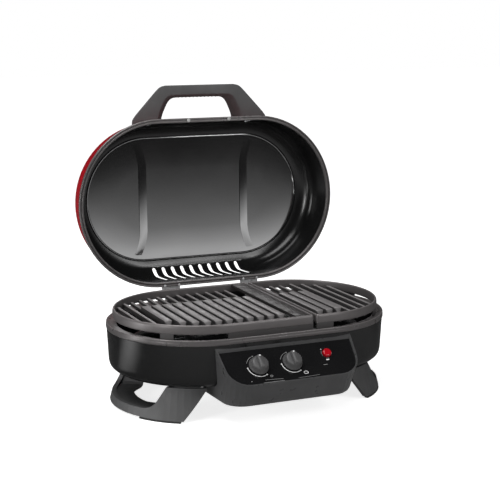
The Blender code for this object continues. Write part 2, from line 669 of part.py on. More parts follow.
def knob_and_valve(side, x, root):
    face = -FASCIA_RECESS
    pivot = empty("knob_pivot_" + side, panel_point(x, KNOB_DOWN, face), root, PANEL_SLOPE)
    r, h = KNOB_RADIUS, KNOB_HEIGHT
    turned("knob_" + side, (0, 0, 0), (0, 0, 1),
           [(r - 0.0010, 0.0010), (r, 0.0020), (r, 0.0055), (r - 0.0022, 0.0072), (r - 0.0030, 0.0150),
            (r - 0.0038, h - 0.0035), (r - 0.0062, h)], "black_plastic", pivot, 28, bore=(0.0034, 0.0120))
    turned("valve_stem_" + side, (0, 0, 0), (0, 0, 1), [(0.0030, -0.0092), (0.0030, 0.0125)],
           "steel", pivot, 16)
    top = panel_point(x, KNOB_DOWN, face - 0.0096)
    bottom = panel_point(x, KNOB_DOWN, face - 0.0300)
    valve = loft("valve_" + side, rod_sections(top, bottom, 0.0080, 20), "brass", root)
    nozzle = rod_sections((x, bottom.y + 0.002, GAS_Z), (x, -0.1960, GAS_Z), 0.0045)
    combine(valve, lofts(f"valve_nozzle_{side}", [nozzle]), "UNION")


def gas_line(root):
    y, z = MANIFOLD
    manifold = loft("gas_manifold", rod_sections((-0.0900, y, z), (0.1330, y, z), 0.0055), "steel", root)
    risers = [rod_sections((x, y, z), (x, y, 0.0978), 0.0042) for x in KNOB_X]
    combine(manifold, lofts("gas_risers", risers), "UNION")
    turned("gas_inlet_fitting", (0.1333, y, z), (1, 0, 0),
           [(0.0070, 0.0), (0.0070, 0.0100), (0.0058, 0.0102), (0.0058, 0.0185)], "brass", root, 12)


def igniter(root):
    face = -FASCIA_RECESS
    pivot = empty("button_pivot", panel_point(BUTTON_X, BUTTON_DOWN, face), root, PANEL_SLOPE)
    r, h = BUTTON_RADIUS, BUTTON_HEIGHT
    turned("igniter_button", (0, 0, 0), (0, 0, 1),
           [(r, -0.0038), (r, h - 0.0022), (r - 0.0016, h - 0.0005), (r - 0.0040, h)],
           "red_plastic", pivot, 24)
    body_end = panel_point(BUTTON_X, BUTTON_DOWN, face - 0.0280)
    body = rod_sections(panel_point(BUTTON_X, BUTTON_DOWN, face - 0.0096), body_end, 0.0090, 20)
    loft("igniter_body", body, "black_plastic", root)
    for side, x in zip(("left", "right"), ELECTRODE_X):
        turned("electrode_" + side, (x, -0.2010, ELECTRODE_Z), (0, 1, 0),
               [(0.0040, 0.0), (0.0040, 0.0640), (0.0012, 0.0655), (0.0012, 0.0830)], "ceramic", root, 12)
    for side, offset in (("left", 0.004), ("right", -0.004)):
        start = body_end + Vector((offset, 0, 0)) - OUT_OF_PANEL * (2 * GAP)
        tube("ignition_wire_" + side, [start] + wire_route(side, start), 0.00125, "wire_sleeve", root, 1)


def wire_route(side, start):
    """Points after the igniter: behind the manifold and along the housing to the electrode."""
    inward = start - OUT_OF_PANEL * 0.0055
    if side == "left":
        x = ELECTRODE_X[0]
        between = [(0.0880, -0.1966, 0.0900), (0.0840, -0.1975, 0.0740), (0.0600, -0.2080, 0.0610),
                   (-0.0300, -0.2130, 0.0580), (-0.0950, -0.2120, 0.0640), (x + 0.004, -0.2110, 0.0880)]
    else:
        x = ELECTRODE_X[1]
        between = [(0.0700, -0.1975, 0.1010), (0.0580, -0.2045, 0.1050)]
    return [inward, *between, (x, -0.2070, ELECTRODE_Z - 0.0008), (x, -0.2018, ELECTRODE_Z)]


# ---- burners -----------------------------------------------------------------------------
def burners(root):
    for side, sign, inlet in (("left", -1, KNOB_X[0]), ("right", 1, KNOB_X[1])):
        near = 0.010 * sign
        points = [(inlet, -0.1955, GAS_Z), (inlet, -0.1700, GAS_Z),
                  (inlet + near, -0.1350, GAS_Z + 0.012),
                  (inlet + 4 * near, -0.1030, BURNER_Z), (0.170 * sign, -0.0950, BURNER_Z),
                  (0.235 * sign, -0.0680, BURNER_Z), (0.262 * sign, 0.0, BURNER_Z),
                  (0.235 * sign, 0.0680, BURNER_Z), (0.170 * sign, 0.0950, BURNER_Z),
                  (0.040 * sign, 0.0980, BURNER_Z)]
        tube("burner_" + side, points, BURNER_RADIUS, "steel", root, 2, 3)
        x = 0.100 * sign
        floor = FLOOR[1] + BOWL_WALL * 0.7 + GAP
        plate = box_sections((x - 0.015, 0.082, floor), (x + 0.015, 0.112, floor + 0.0018))
        bracket = loft("burner_bracket_" + side, plate, "zinc", root)
        post_top = BURNER_Z - BURNER_RADIUS - GAP
        post = box_sections((x - 0.010, 0.0945, floor + 0.0006), (x + 0.010, 0.0985, post_top))
        combine(bracket, lofts(f"burner_bracket_post_{side}", [post]), "UNION")


# ---- legs --------------------------------------------------------------------------------
def leg_screw_places():
    angle = math.radians(62)
    radius = 0.150
    return [(side * (END_CENTRE + radius * math.cos(angle)), front * radius * math.sin(angle))
            for side in (-1, 1) for front in (-1, 1)]


def between(points, at):
    """Value at a place along straight lines through (place, value) points."""
    for (start, first), (end, last) in zip(points, points[1:]):
        if start <= at <= end:
            return first + (last - first) * (at - start) / (end - start)
    return points[-1][1]


def leg_limits(angle):
    """Lowest and highest point of the leg at an angle from its outermost point, in degrees."""
    off = abs(angle)
    low = LEG_FOOT + max(off - 60.3, 0.0) * 0.00409
    edge = [(0.0, 0.0205), (17.0, 0.0215), (31.0, 0.0225), (34.5, 0.0245), (37.0, 0.0280),
            (40.0, 0.0360), (46.8, LEG_SKIN_TOP)]
    return low, between(edge, off)


def leg_web(angle):
    """The inward web under the leg's window, which curls up into the two upright parts."""
    off = abs(angle)
    top = between([(0.0, 0.0185), (31.0, 0.0185), (36.8, 0.0205), (39.0, 0.0245), (42.0, 0.0380),
                   (46.8, 0.0690)], off)
    thick = between([(0.0, 0.0030), (31.0, 0.0030), (36.8, 0.0038), (42.0, 0.0090), (46.8, 0.0140)], off)
    inner = between([(0.0, 0.136), (18.0, 0.136), (33.0, 0.123), (46.8, 0.123)], off)

    def reach(z):
        return LEG_RADIUS - LEG_TAPER * z - inner

    low = top - thick
    return [(low, 0.0050), (top, 0.0050), (top, reach(top)), (low, reach(low))]


def leg_point(side, angle, z, inward):
    radius = LEG_RADIUS - LEG_TAPER * z - inward
    turn = math.radians(angle)
    return Vector((side * (END_CENTRE + radius * math.cos(turn)), radius * math.sin(turn), z))


def leg_sweep(side, angles, section):
    """Rings of points (height, distance in from the outer face), one ring for each angle."""
    return [[leg_point(side, a, z, inward) for z, inward in section(a)] for a in angles]


def pad_section(angle):
    inset, top = 0.0006, LEG_FOOT - GAP
    return [(0.0, inset), (top, inset), (top, LEG_THICK - inset), (0.0, LEG_THICK - inset)]


def leg(side_name, side, root):
    half = [6, 12, 18, 24, 31, 34.5, 37, 40, 43.4, 46.8, 51, 55.5, 60.3, 65, 70, 75.8]
    angles = [-a for a in reversed(half)] + [0] + half

    def wall(angle):
        low, high = leg_limits(angle)
        return [(low, 0.0), (high, 0.0), (high, LEG_THICK), (low, LEG_THICK)]

    def flange(angle):
        top = LEG_TOP - 0.0004
        return [(top - 0.0055, 0.0060), (top, 0.0060), (top, 0.0330), (top - 0.0055, 0.0330)]

    body = loft("leg_" + side_name, leg_sweep(side, angles, wall), "leg_plastic", root)
    flanges = [leg_sweep(side, [sign * a for a in (52, 56, 60, 64, 68, 72)], flange) for sign in (-1, 1)]
    web_half = [10, 18, 24, 31, 34, 36.8, 39, 42, 46.8]
    web_angles = [-a for a in reversed(web_half)] + [0] + web_half
    combine(body, lofts(f"leg_flanges_{side_name}", flanges), "UNION")
    combine(body, loft(f"leg_web_{side_name}", leg_sweep(side, web_angles, leg_web)), "UNION")
    places = [place for place in leg_screw_places() if place[0] * side > 0]
    holes = [rod_sections((x, y, LEG_TOP - 0.02), (x, y, LEG_TOP + 0.02), 0.0025, 12) for x, y in places]
    combine(body, lofts(f"leg_holes_{side_name}", holes))
    for (x, y), end, sign in zip(places, ("front", "rear"), (-1, 1)):
        head = LEG_TOP - 0.0004 - 0.0055 - 0.0028
        turned(f"leg_screw_{end}_{side_name}", (x, y, head), (0, 0, 1),
               [(0.0032, 0.0), (0.0046, 0.0012), (0.0046, 0.0028 - GAP), (0.0020, 0.0029 - GAP),
                (0.0020, 0.0790 - head)], "steel", root, 12)
        first, last = PAD_ANGLES
        pad_angles = [sign * (first + (last - first) * i / PAD_STEPS) for i in range(PAD_STEPS + 1)]
        loft(f"foot_pad_{end}_{side_name}", leg_sweep(side, pad_angles, pad_section), "rubber", root)


# ---- grease tray -------------------------------------------------------------------------
def tray_ring(grow, z):
    x, corner = TRAY_HALF - 0.006 + grow, 0.008
    front, back = TRAY_Y[0] + 0.006 - grow, TRAY_Y[1] - 0.006 + grow
    return [Vector(p) for p in ((-x + corner, front, z), (x - corner, front, z), (x, front + corner, z),
                                (x, back - corner, z), (x - corner, back, z), (-x + corner, back, z),
                                (-x, back - corner, z), (-x, front + corner, z))]


def grease_tray(root):
    low, high = TRAY_Z
    rings = [(-0.0040, low), (-0.0010, low + 0.0020), (0.0, high - 0.0015), (0.0060, high - 0.0015),
             (0.0060, high), (-0.0012, high), (-0.0022, low + 0.0030), (-0.0050, low + 0.0015)]
    tray = loft("grease_tray", [tray_ring(g, z) for g, z in rings], "steel", root)
    back = TRAY_Y[1]
    pull = box_sections((-0.030, back - 0.003, high - 0.0014), (0.030, back + 0.018, high - 0.0001))
    combine(tray, lofts("grease_tray_pull", [pull]), "UNION")
    foot_top = high - 0.0015 - GAP
    web = TRAY_HALF + 0.0006
    for side, sign in (("left", -1), ("right", 1)):
        rail_top = FLOOR[1] - GAP
        shape = [(web - 0.0055, foot_top - 0.0020), (web + 0.0020, foot_top - 0.0020),
                 (web + 0.0020, rail_top), (web, rail_top), (web, foot_top), (web - 0.0055, foot_top)]
        rail = [[Vector((sign * x, y, z)) for x, z in shape] for y in (-0.096, 0.112)]
        loft("tray_rail_" + side, rail, "zinc", root)


# ---- the whole grill ---------------------------------------------------------------------
def move_origin_under_middle(root):
    """Shift the grill so that its bounding box stands centred on the world origin."""
    bpy.context.view_layer.update()
    graph = bpy.context.evaluated_depsgraph_get()
    low, high = Vector((9, 9, 9)), Vector((-9, -9, -9))
    for item in bpy.data.objects:
        if item.type == "EMPTY" or item.hide_render:
            continue
        evaluated = item.evaluated_get(graph)
        mesh = evaluated.to_mesh()
        for vertex in mesh.vertices:
            place = evaluated.matrix_world @ vertex.co
            low = Vector(map(min, low, place))
            high = Vector(map(max, high, place))
        evaluated.to_mesh_clear()
    root.location = (-(low.x + high.x) / 2, -(low.y + high.y) / 2, -low.z)
    bpy.context.view_layer.update()


def build():
    clear_scene()
    root = empty("grill_origin", (0, 0, 0))
    base_shell(root)
    base_rim(root)
    grates(root)
    lid_pivot = empty("lid_pivot", (0, HINGE_Y, HINGE_Z), root, math.radians(-LID_OPEN_DEG))
    closed_shift = (0, -HINGE_Y, -HINGE_Z)
    lid_shell(lid_pivot, closed_shift)
    lid_rim(lid_pivot, closed_shift)
    lid_handle(lid_pivot, closed_shift)
    lid_fittings(lid_pivot, closed_shift)
    hinge("left", -HINGE_X, root, lid_pivot, closed_shift)
    hinge("right", HINGE_X, root, lid_pivot, closed_shift)
    control_housing(root)
    control_fascia(root)
    knob_and_valve("left", KNOB_X[0], root)
    knob_and_valve("right", KNOB_X[1], root)
    gas_line(root)
    igniter(root)
    burners(root)
    leg("left", -1, root)
    leg("right", 1, root)
    grease_tray(root)
    move_origin_under_middle(root)


build()
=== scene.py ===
"""Looks of the portable tabletop gas grill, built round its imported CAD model.

Units are metres, +Z is up and the table is z = 0. Pieces are made round the centre of the cooking
bowl and then moved by OFFSET. Pieces of the lid are made with the lid closed and then swung open
about the hinge line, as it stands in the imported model.
"""
import json
import math

import bmesh
import bpy
from mathutils import Matrix, Vector


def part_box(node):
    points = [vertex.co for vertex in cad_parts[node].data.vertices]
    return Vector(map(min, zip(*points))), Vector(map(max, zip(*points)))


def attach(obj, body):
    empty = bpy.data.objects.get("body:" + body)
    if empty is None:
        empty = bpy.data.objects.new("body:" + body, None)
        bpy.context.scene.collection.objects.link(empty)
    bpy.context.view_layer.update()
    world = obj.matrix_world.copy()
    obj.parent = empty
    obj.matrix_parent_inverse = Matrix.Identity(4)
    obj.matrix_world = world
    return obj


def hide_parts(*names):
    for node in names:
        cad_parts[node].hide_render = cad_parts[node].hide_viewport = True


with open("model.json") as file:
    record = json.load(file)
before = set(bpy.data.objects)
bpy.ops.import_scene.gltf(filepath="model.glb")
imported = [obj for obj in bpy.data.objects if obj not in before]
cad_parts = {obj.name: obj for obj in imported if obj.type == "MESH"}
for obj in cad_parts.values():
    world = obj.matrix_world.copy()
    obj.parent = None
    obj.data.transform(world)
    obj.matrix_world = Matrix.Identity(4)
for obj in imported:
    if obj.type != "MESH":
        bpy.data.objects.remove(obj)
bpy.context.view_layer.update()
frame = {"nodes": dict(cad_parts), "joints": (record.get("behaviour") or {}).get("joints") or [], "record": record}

# ---- dimensions, in metres ---------------------------------------------------------------
END_CENTRE = 0.123              # half distance between the centres of the two round ends
END_STEPS = 44
RIM_TOP = 0.1790
LEDGE_TOP = 0.1750
GRATE_RADIUS = 0.1808
GRATE_BAND = (0.1877, 0.2073)
GRATE_LOW = 0.1860              # underside of the bars
BAR_END_TOP = 0.1930
PLATEAU_TOP = 0.2030
THIN_BAR_TOP = 0.1965
BAR_PITCH = 0.0242
BAR_HALVES = (0.0038, 0.0088)
RAISED_RADIUS = 0.1288
RAISED_BACK = 0.060
GRATE_SPLIT = (0.0765, 0.0815)
STRIP_WIDTH = 0.0360

LID_OPEN_DEG = 92.0
LID_RIM = (0.1815, 0.1885)
LID_RIM_RADII = (0.184, 0.1945)
LID_SKIRT_RADII = (0.1878, 0.1832)
LID_SHOULDER = 0.039
LID_HEIGHT = 0.2842
LID_SHEET = 0.0014
VENTS = 10
VENT_PITCH = 0.0236

PANEL_TOP = (-0.196, 0.1565)
PANEL_SLOPE = math.radians(42)
FASCIA_FACE = -0.003            # out of the panel's plane
KNOB_X = (-0.0755, 0.0015)
KNOB_DOWN = 0.0447
KNOB_HEIGHT = 0.0235
BUTTON_X = 0.086
BUTTON_DOWN = 0.0337

CAMERA_AZIMUTH = -24.39         # degrees, 0 looks along +Y
CAMERA_ELEVATION = 10.80
CAMERA_ROLL = 0.158
CAMERA_DISTANCE = 2.8695
CAMERA_TARGET = (0.0077, 0.0, 0.3212)
CAMERA_LENS = 93.6
AMBIENT = 0.12                  # strength of the sky on matte surfaces
REFLECTED_SKY = 0.02            # and in reflections

LOW_CORNER, HIGH_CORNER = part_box("base_shell")
OFFSET = Vector(((LOW_CORNER.x + HIGH_CORNER.x) / 2, (LOW_CORNER.y + HIGH_CORNER.y) / 2, 0))
HINGE = next(Vector(j["pos_m"]) for j in frame["joints"] if j["name"] == "lid_hinge")
DOWN_SLOPE = Vector((0, -math.cos(PANEL_SLOPE), -math.sin(PANEL_SLOPE)))
OUT_OF_PANEL = Vector((0, -math.sin(PANEL_SLOPE), math.cos(PANEL_SLOPE)))
TO_BASE = Matrix.Translation(OFFSET)
SWING = Matrix.Rotation(math.radians(-LID_OPEN_DEG), 4, "X")
TO_LID = Matrix.Translation(HINGE) @ SWING @ Matrix.Translation(-HINGE) @ TO_BASE


# ---- mesh helpers ------------------------------------------------------------------------
def add_loft(bm, sections, closed=False, caps=True, material_of=None):
    """Quads between loops of points; material_of gives the slot of each stretch by its number."""
    rings = [[bm.verts.new(point) for point in section] for section in sections]
    pairs = list(zip(rings, rings[1:]))
    if closed:
        pairs.append((rings[-1], rings[0]))
    elif caps:
        first, last = bm.faces.new(rings[0]), bm.faces.new(rings[-1])
        if material_of:
            first.material_index, last.material_index = material_of(0), material_of(len(pairs) - 1)
    for n, (lower, upper) in enumerate(pairs):
        for i in range(len(lower)):
            j = (i + 1) % len(lower)
            face = bm.faces.new((lower[i], lower[j], upper[j], upper[i]))
            if material_of:
                face.material_index = material_of(n)


def finish_mesh(bm, name, smooth_degrees=38):
    bmesh.ops.recalc_face_normals(bm, faces=bm.faces)
    mesh = bpy.data.meshes.new(name)
    bm.to_mesh(mesh)
    bm.free()
    mesh.shade_smooth()
    mesh.set_sharp_from_angle(angle=math.radians(smooth_degrees))
    return mesh


def new_object(name, mesh):
    item = bpy.data.objects.new(name, mesh)
    bpy.context.scene.collection.objects.link(item)
    return item


def lofts(name, groups, closed=False):
    """Several lofts that stay apart, in one mesh."""
    bm = bmesh.new()
    for sections in groups:
        add_loft(bm, sections, closed)
    return new_object(name, finish_mesh(bm, name))


def stadium(radius, z, steps=END_STEPS):
    """Outline with two round ends, whose centres lie END_CENTRE to each side."""
    points = []
    for side, start in ((1, -90), (-1, 90)):
        for i in range(steps + 1):
            angle = math.radians(start + 180 * i / steps)
            points.append(Vector((side * END_CENTRE + radius * math.cos(angle),
                                  radius * math.sin(angle), z)))
    return points


def filleted(points, radius, steps=3, closed=True):
    """The polyline with each corner rounded. A point may carry its own radius as a third number."""
    made = []
    count = len(points)
    for i, point in enumerate(points):
        own = point[2] if len(point) > 2 else radius
        here = Vector(point[:2])
        if not closed and i in (0, count - 1) or own <= 0:
            made.append((here.x, here.y))
            continue
        before = Vector(points[i - 1][:2])
        after = Vector(points[(i + 1) % count][:2])
        reach_in = min(own, 0.48 * (before - here).length)
        reach_out = min(own, 0.48 * (after - here).length)
        start = here + (before - here).normalized() * reach_in
        end = here + (after - here).normalized() * reach_out
        for k in range(steps + 1):
            t = k / steps
            spot = start * (1 - t) ** 2 + here * 2 * t * (1 - t) + end * t ** 2
            made.append((spot.x, spot.y))
    return made


def swept(name, profile, closed=True, material_of=None):
    """A profile of (radius, height) points carried round the stadium outline."""
    bm = bmesh.new()
    add_loft(bm, [stadium(r, z) for r, z in profile], closed, material_of=material_of)
    return new_object(name, finish_mesh(bm, name))


def box_sections(low, high):
    (x0, y0, z0), (x1, y1, z1) = low, high
    return [[Vector((x0, y0, z)), Vector((x1, y0, z)), Vector((x1, y1, z)), Vector((x0, y1, z))]
            for z in (z0, z1)]


def circle(centre, axis, radius, steps):
    turn = Vector(axis).to_track_quat("Z", "Y")
    return [Vector(centre) + turn @ Vector((radius * math.cos(2 * math.pi * i / steps),
                                            radius * math.sin(2 * math.pi * i / steps), 0))
            for i in range(steps)]


def rod_sections(start, end, radius, steps=24):
    axis = Vector(end) - Vector(start)
    return [circle(start, axis, radius, steps), circle(end, axis, radius, steps)]


def turned_sections(profile, steps=56):
    """Rings round Z from a profile of (radius, height) points."""
    return [circle((0, 0, z), (0, 0, 1), r, steps) for r, z in profile]


def half_depth(x, radius):
    beyond = max(abs(x) - END_CENTRE, 0.0)
    return math.sqrt(max(radius ** 2 - beyond ** 2, 0.0))


def baked(item):
    """Applies the modifiers of an object and removes the helper objects they used."""
    helpers = [m.object for m in item.modifiers if m.type == "BOOLEAN"]
    bpy.context.view_layer.update()
    graph = bpy.context.evaluated_depsgraph_get()
    mesh = bpy.data.meshes.new_from_object(item.evaluated_get(graph))
    item.modifiers.clear()
    item.data = mesh
    for helper in helpers:
        bpy.data.objects.remove(helper, do_unlink=True)
    mesh.shade_smooth()
    mesh.set_sharp_from_angle(angle=math.radians(38))
    return item


def boolean(item, other, operation="DIFFERENCE"):
    modifier = item.modifiers.new("boolean", "BOOLEAN")
    modifier.object = other
    modifier.operation = operation
    modifier.solver = "EXACT"


def bevel(item, width, segments=2, degrees=35):
    modifier = item.modifiers.new("bevel", "BEVEL")
    modifier.width = width
    modifier.segments = segments
    modifier.limit_method = "ANGLE"
    modifier.angle_limit = math.radians(degrees)
    modifier.harden_normals = False


def settle(item, place, body, materials, stands_for=()):
    """Moves a finished piece into the row frame, ties it to its body, gives it its finish and hides the CAD nodes
    it stands for.
    """
    item.data.transform(place)
    if len(item.data.materials) != len(materials):
        item.data.materials.clear()
        for made in materials:
            item.data.materials.append(made)
    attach(item, body)
    if stands_for:
        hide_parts(*stands_for)
    return item


# ---- materials ---------------------------------------------------------------------------
class Nodes:
    """A short way to write a node tree."""

    def __init__(self, name):
        self.material = bpy.data.materials.new(name)
        self.material.use_nodes = True
        self.tree = self.material.node_tree
        self.shader = self.tree.nodes["Principled BSDF"]
        self.where = self.tree.nodes.new("ShaderNodeTexCoord").outputs["Object"]

    def add(self, kind, values=(), **links):
        node = self.tree.nodes.new(kind)
        for key, value in dict(values).items():
            if key in node.inputs:
                node.inputs[key].default_value = value
            else:
                setattr(node, key, value)
        for key, source in links.items():
            self.tree.links.new(source, node.inputs[key.replace("_", " ")])
        return node

    def noise(self, scale, detail=3.0, rough=0.55, stretch=None):
        where = self.where
        if stretch:
            where = self.add("ShaderNodeMapping", {"Scale": stretch}, Vector=where).outputs["Vector"]
        node = self.add("ShaderNodeTexNoise", {"Scale": scale, "Detail": detail, "Roughness": rough},
                        Vector=where)
        return node.outputs["Fac"]

    def ramp(self, factor, stops):
        node = self.add("ShaderNodeValToRGB", {}, Fac=factor)
        elements = node.color_ramp.elements
        while len(elements) < len(stops):
            elements.new(0.5)
        for element, (place, colour) in zip(elements, stops):
            element.position = place
            element.color = (*colour, 1.0)
        return node.outputs["Color"]

    def spread(self, factor, low, high, start=0.35, end=0.65):
        values = {"From Min": start, "From Max": end, "To Min": low, "To Max": high}
        return self.add("ShaderNodeMapRange", values, Value=factor).outputs["Result"]

    def bump(self, height, strength, distance, normal=None):
        node = self.add("ShaderNodeBump", {"Strength": strength, "Distance": distance}, Height=height)
        if normal is not None:
            self.tree.links.new(normal, node.inputs["Normal"])
        return node.outputs["Normal"]

    def plug(self, **links):
        for key, source in links.items():
            self.tree.links.new(source, self.shader.inputs[key.replace("_", " ")])

    def constants(self, **values):
        for key, value in values.items():
            self.shader.inputs[key.replace("_", " ")].default_value = value


def shades(colour, low, high):
    return [(0.32, tuple(c * low for c in colour)), (0.68, tuple(c * high for c in colour))]


def paint(name, colour, roughness, orange_peel=0.15, coat=0.0, coat_roughness=0.1, metallic=0.0,
          specular=0.5):
    """Sprayed or enamelled metal: soft tone changes, slight gloss changes and a little orange peel."""
    n = Nodes(name)
    n.constants(Metallic=metallic, Coat_Weight=coat, Coat_Roughness=coat_roughness,
                Specular_IOR_Level=specular)
    n.plug(Base_Color=n.ramp(n.noise(9.0, 2.0), shades(colour, 0.9, 1.12)),
           Roughness=n.spread(n.noise(60.0, 4.0), roughness * 0.88, roughness * 1.14),
           Normal=n.bump(n.noise(420.0, 2.0), orange_peel, 0.0002))
    return n.material


def moulded(name, colour, roughness, grain=0.35, pitch=1500.0):
    """Moulded plastic with a fine leather like grain and slight gloss changes."""
    n = Nodes(name)
    cells = n.add("ShaderNodeTexVoronoi", {"Scale": pitch}, Vector=n.where).outputs["Distance"]
    n.plug(Base_Color=n.ramp(n.noise(14.0, 3.0), shades(colour, 0.88, 1.12)),
           Roughness=n.spread(n.noise(35.0, 3.0), roughness * 0.9, roughness * 1.12),
           Normal=n.bump(cells, grain, 0.00015))
    return n.material


def cast_iron(name, colour, side=0.45, pits=0.45, gloss=(0.42, 0.58)):
    """Enamelled cast iron: pitted skin, uneven gloss, paler rubbed edges, and painted shade that darkens the
    upright faces to side times the colour.
    """
    n = Nodes(name)
    edges = n.add("ShaderNodeNewGeometry").outputs["Pointiness"]
    worn = n.spread(edges, 0.0, 1.0, 0.50, 0.58)
    base = n.ramp(n.noise(26.0, 5.0), shades(colour, 0.80, 1.16))
    pale = n.add("ShaderNodeMix", {"data_type": "RGBA"})
    n.tree.links.new(worn, pale.inputs[0])
    n.tree.links.new(base, pale.inputs[6])
    pale.inputs[7].default_value = (*[c * 1.55 for c in colour], 1.0)
    # Painted shade: faces that tip away from straight up blend towards side times the colour, as if lit from
    # above.
    facing = n.add("ShaderNodeNewGeometry").outputs["Normal"]
    top_lit_mask = n.spread(n.add("ShaderNodeSeparateXYZ", {}, Vector=facing).outputs["Z"], 0.0, 1.0, 0.30, 0.90)
    painted_shade = n.add("ShaderNodeMix", {"data_type": "RGBA"})
    n.tree.links.new(top_lit_mask, painted_shade.inputs[0])
    painted_shade.inputs[6].default_value = (*[c * side for c in colour], 1.0)
    n.tree.links.new(pale.outputs[2], painted_shade.inputs[7])
    rough_skin = n.bump(n.noise(700.0, 4.0, 0.65), pits, 0.0003)
    n.constants(Metallic=0.35)
    n.plug(Base_Color=painted_shade.outputs[2],
           Roughness=n.spread(n.noise(48.0, 4.0), *gloss),
           Normal=n.bump(n.noise(90.0, 3.0), pits * 0.55, 0.0006, rough_skin))
    return n.material


def mirror_enamel(name, colour, roughness, metallic=1.0):
    """Dark glossy enamel on flat sheet, with faint cloudy gloss changes and no visible texture."""
    n = Nodes(name)
    n.constants(Metallic=metallic)
    n.plug(Base_Color=n.ramp(n.noise(5.0, 2.0), shades(colour, 0.96, 1.04)),
           Roughness=n.spread(n.noise(7.0, 3.0), roughness * 0.9, roughness * 1.12))
    return n.material


def metal(name, colour, roughness, stretch=(1, 1, 1), scale=240.0, tarnish=0.18, metallic=1.0):
    """Bare or plated metal with brushing along one axis and cloudy tarnish."""
    n = Nodes(name)
    brushed = n.noise(scale, 3.0, 0.6, stretch)
    n.constants(Metallic=metallic)
    n.plug(Base_Color=n.ramp(n.noise(30.0, 4.0), shades(colour, 1 - tarnish, 1 + tarnish / 2)),
           Roughness=n.spread(brushed, roughness * 0.8, roughness * 1.25),
           Normal=n.bump(brushed, 0.08, 0.0001))
    return n.material


def soft_matte(name, colour, roughness, scale=300.0):
    n = Nodes(name)
    n.plug(Base_Color=n.ramp(n.noise(40.0, 3.0), shades(colour, 0.85, 1.15)),
           Roughness=n.spread(n.noise(scale, 2.0), roughness * 0.9, min(1.0, roughness * 1.1)),
           Normal=n.bump(n.noise(scale * 3, 2.0), 0.3, 0.0002))
    return n.material


def make_materials():
    return {
        "black_paint": paint("black_paint", (0.006, 0.006, 0.0062), 0.20, 0.02, specular=0.5),
        # In each cast_iron finish the third number, 0.45 when not given, is the painted shade on upright faces.
        "rim_enamel": cast_iron("rim_enamel", (0.220, 0.205, 0.205), 0.50, 0.06, (0.26, 0.36)),
        "cast_grate": cast_iron("cast_grate", (0.200, 0.190, 0.191), 0.36),
        "red_enamel": paint("red_enamel", (0.320, 0.004, 0.010), 0.30, specular=0.22),
        "black_enamel": mirror_enamel("black_enamel", (0.007, 0.007, 0.0072), 0.24, 0.0),
        "ceiling_enamel": mirror_enamel("ceiling_enamel", (0.40, 0.40, 0.402), 0.07),
        "bright_zinc": metal("bright_zinc", (0.80, 0.80, 0.81), 0.34, (1, 1, 1), 120.0, 0.12, 0.55),
        "cast_band": cast_iron("cast_band", (0.215, 0.200, 0.200), 0.62, 0.2, (0.34, 0.46)),
        "smooth_cast": cast_iron("smooth_cast", (0.036, 0.033, 0.033), 0.8),
        "handle_plastic": moulded("handle_plastic", (0.078, 0.078, 0.079), 0.52, 0.5),
        "housing_plastic": moulded("housing_plastic", (0.056, 0.056, 0.057), 0.30, 0.0),
        "knob_plastic": moulded("knob_plastic", (0.085, 0.084, 0.085), 0.42, 0.2),
        "gloss_black": paint("gloss_black", (0.008, 0.008, 0.0085), 0.12, 0.03, coat=0.3,
                             coat_roughness=0.04),
        "leg_plastic": moulded("leg_plastic", (0.075, 0.075, 0.076), 0.50, 0.5),
        "red_plastic": paint("red_plastic", (0.440, 0.002, 0.010), 0.18, 0.04, coat=0.7,
                             coat_roughness=0.05),
        "brass": metal("brass", (0.58, 0.42, 0.17), 0.28),
        "steel": metal("steel", (0.56, 0.56, 0.57), 0.30, (1, 6, 1)),
        "zinc": metal("zinc", (0.46, 0.47, 0.48), 0.42, (1, 1, 1), 120.0, 0.25),
        "ceramic": soft_matte("ceramic", (0.80, 0.78, 0.73), 0.45),
        "rubber": soft_matte("rubber", (0.028, 0.028, 0.028), 0.80),
        "pale_rubber": soft_matte("pale_rubber", (0.42, 0.42, 0.41), 0.55),
        "wire_sleeve": soft_matte("wire_sleeve", (0.30, 0.05, 0.04), 0.60),
        "white_print": soft_matte("white_print", (0.80, 0.80, 0.80), 0.50),
        "grey_print": soft_matte("grey_print", (0.26, 0.26, 0.26), 0.50),
    }


# ---- bowl and its rim --------------------------------------------------------------------
def build_bowl(finish):
    outside = [(0.020, 0.0741), (0.1725, 0.0741, 0.006), (0.1810, 0.0791, 0.004),
               (0.1870, 0.0845, 0.005), (0.1897, 0.0930, 0.006), (0.1935, 0.1657)]
    inside = [(0.1919, 0.1657), (0.1881, 0.0935, 0.006), (0.1855, 0.0858, 0.005),
              (0.1799, 0.0805, 0.004), (0.1717, 0.0752, 0.006), (0.020, 0.0752)]
    profile = filleted(outside, 0.004, 4, False) + filleted(inside, 0.004, 4, False)
    shell = swept("bowl_shell", profile, closed=False)
    low, high = 0.066, 0.090
    holes = [rod_sections((0, 0, low), (0, 0, high), 0.018, 40)]
    for x in KNOB_X:
        holes.append(rod_sections((x, -0.21, 0.1047), (x, -0.17, 0.1047), 0.0095))
    for x in (-0.118, 0.050):
        holes.append(rod_sections((x, -0.21, 0.118), (x, -0.17, 0.118), 0.0045))
    boolean(shell, lofts("bowl_holes", holes))
    settle(baked(shell), TO_BASE, "base", [finish["black_paint"]], ["base_shell"])


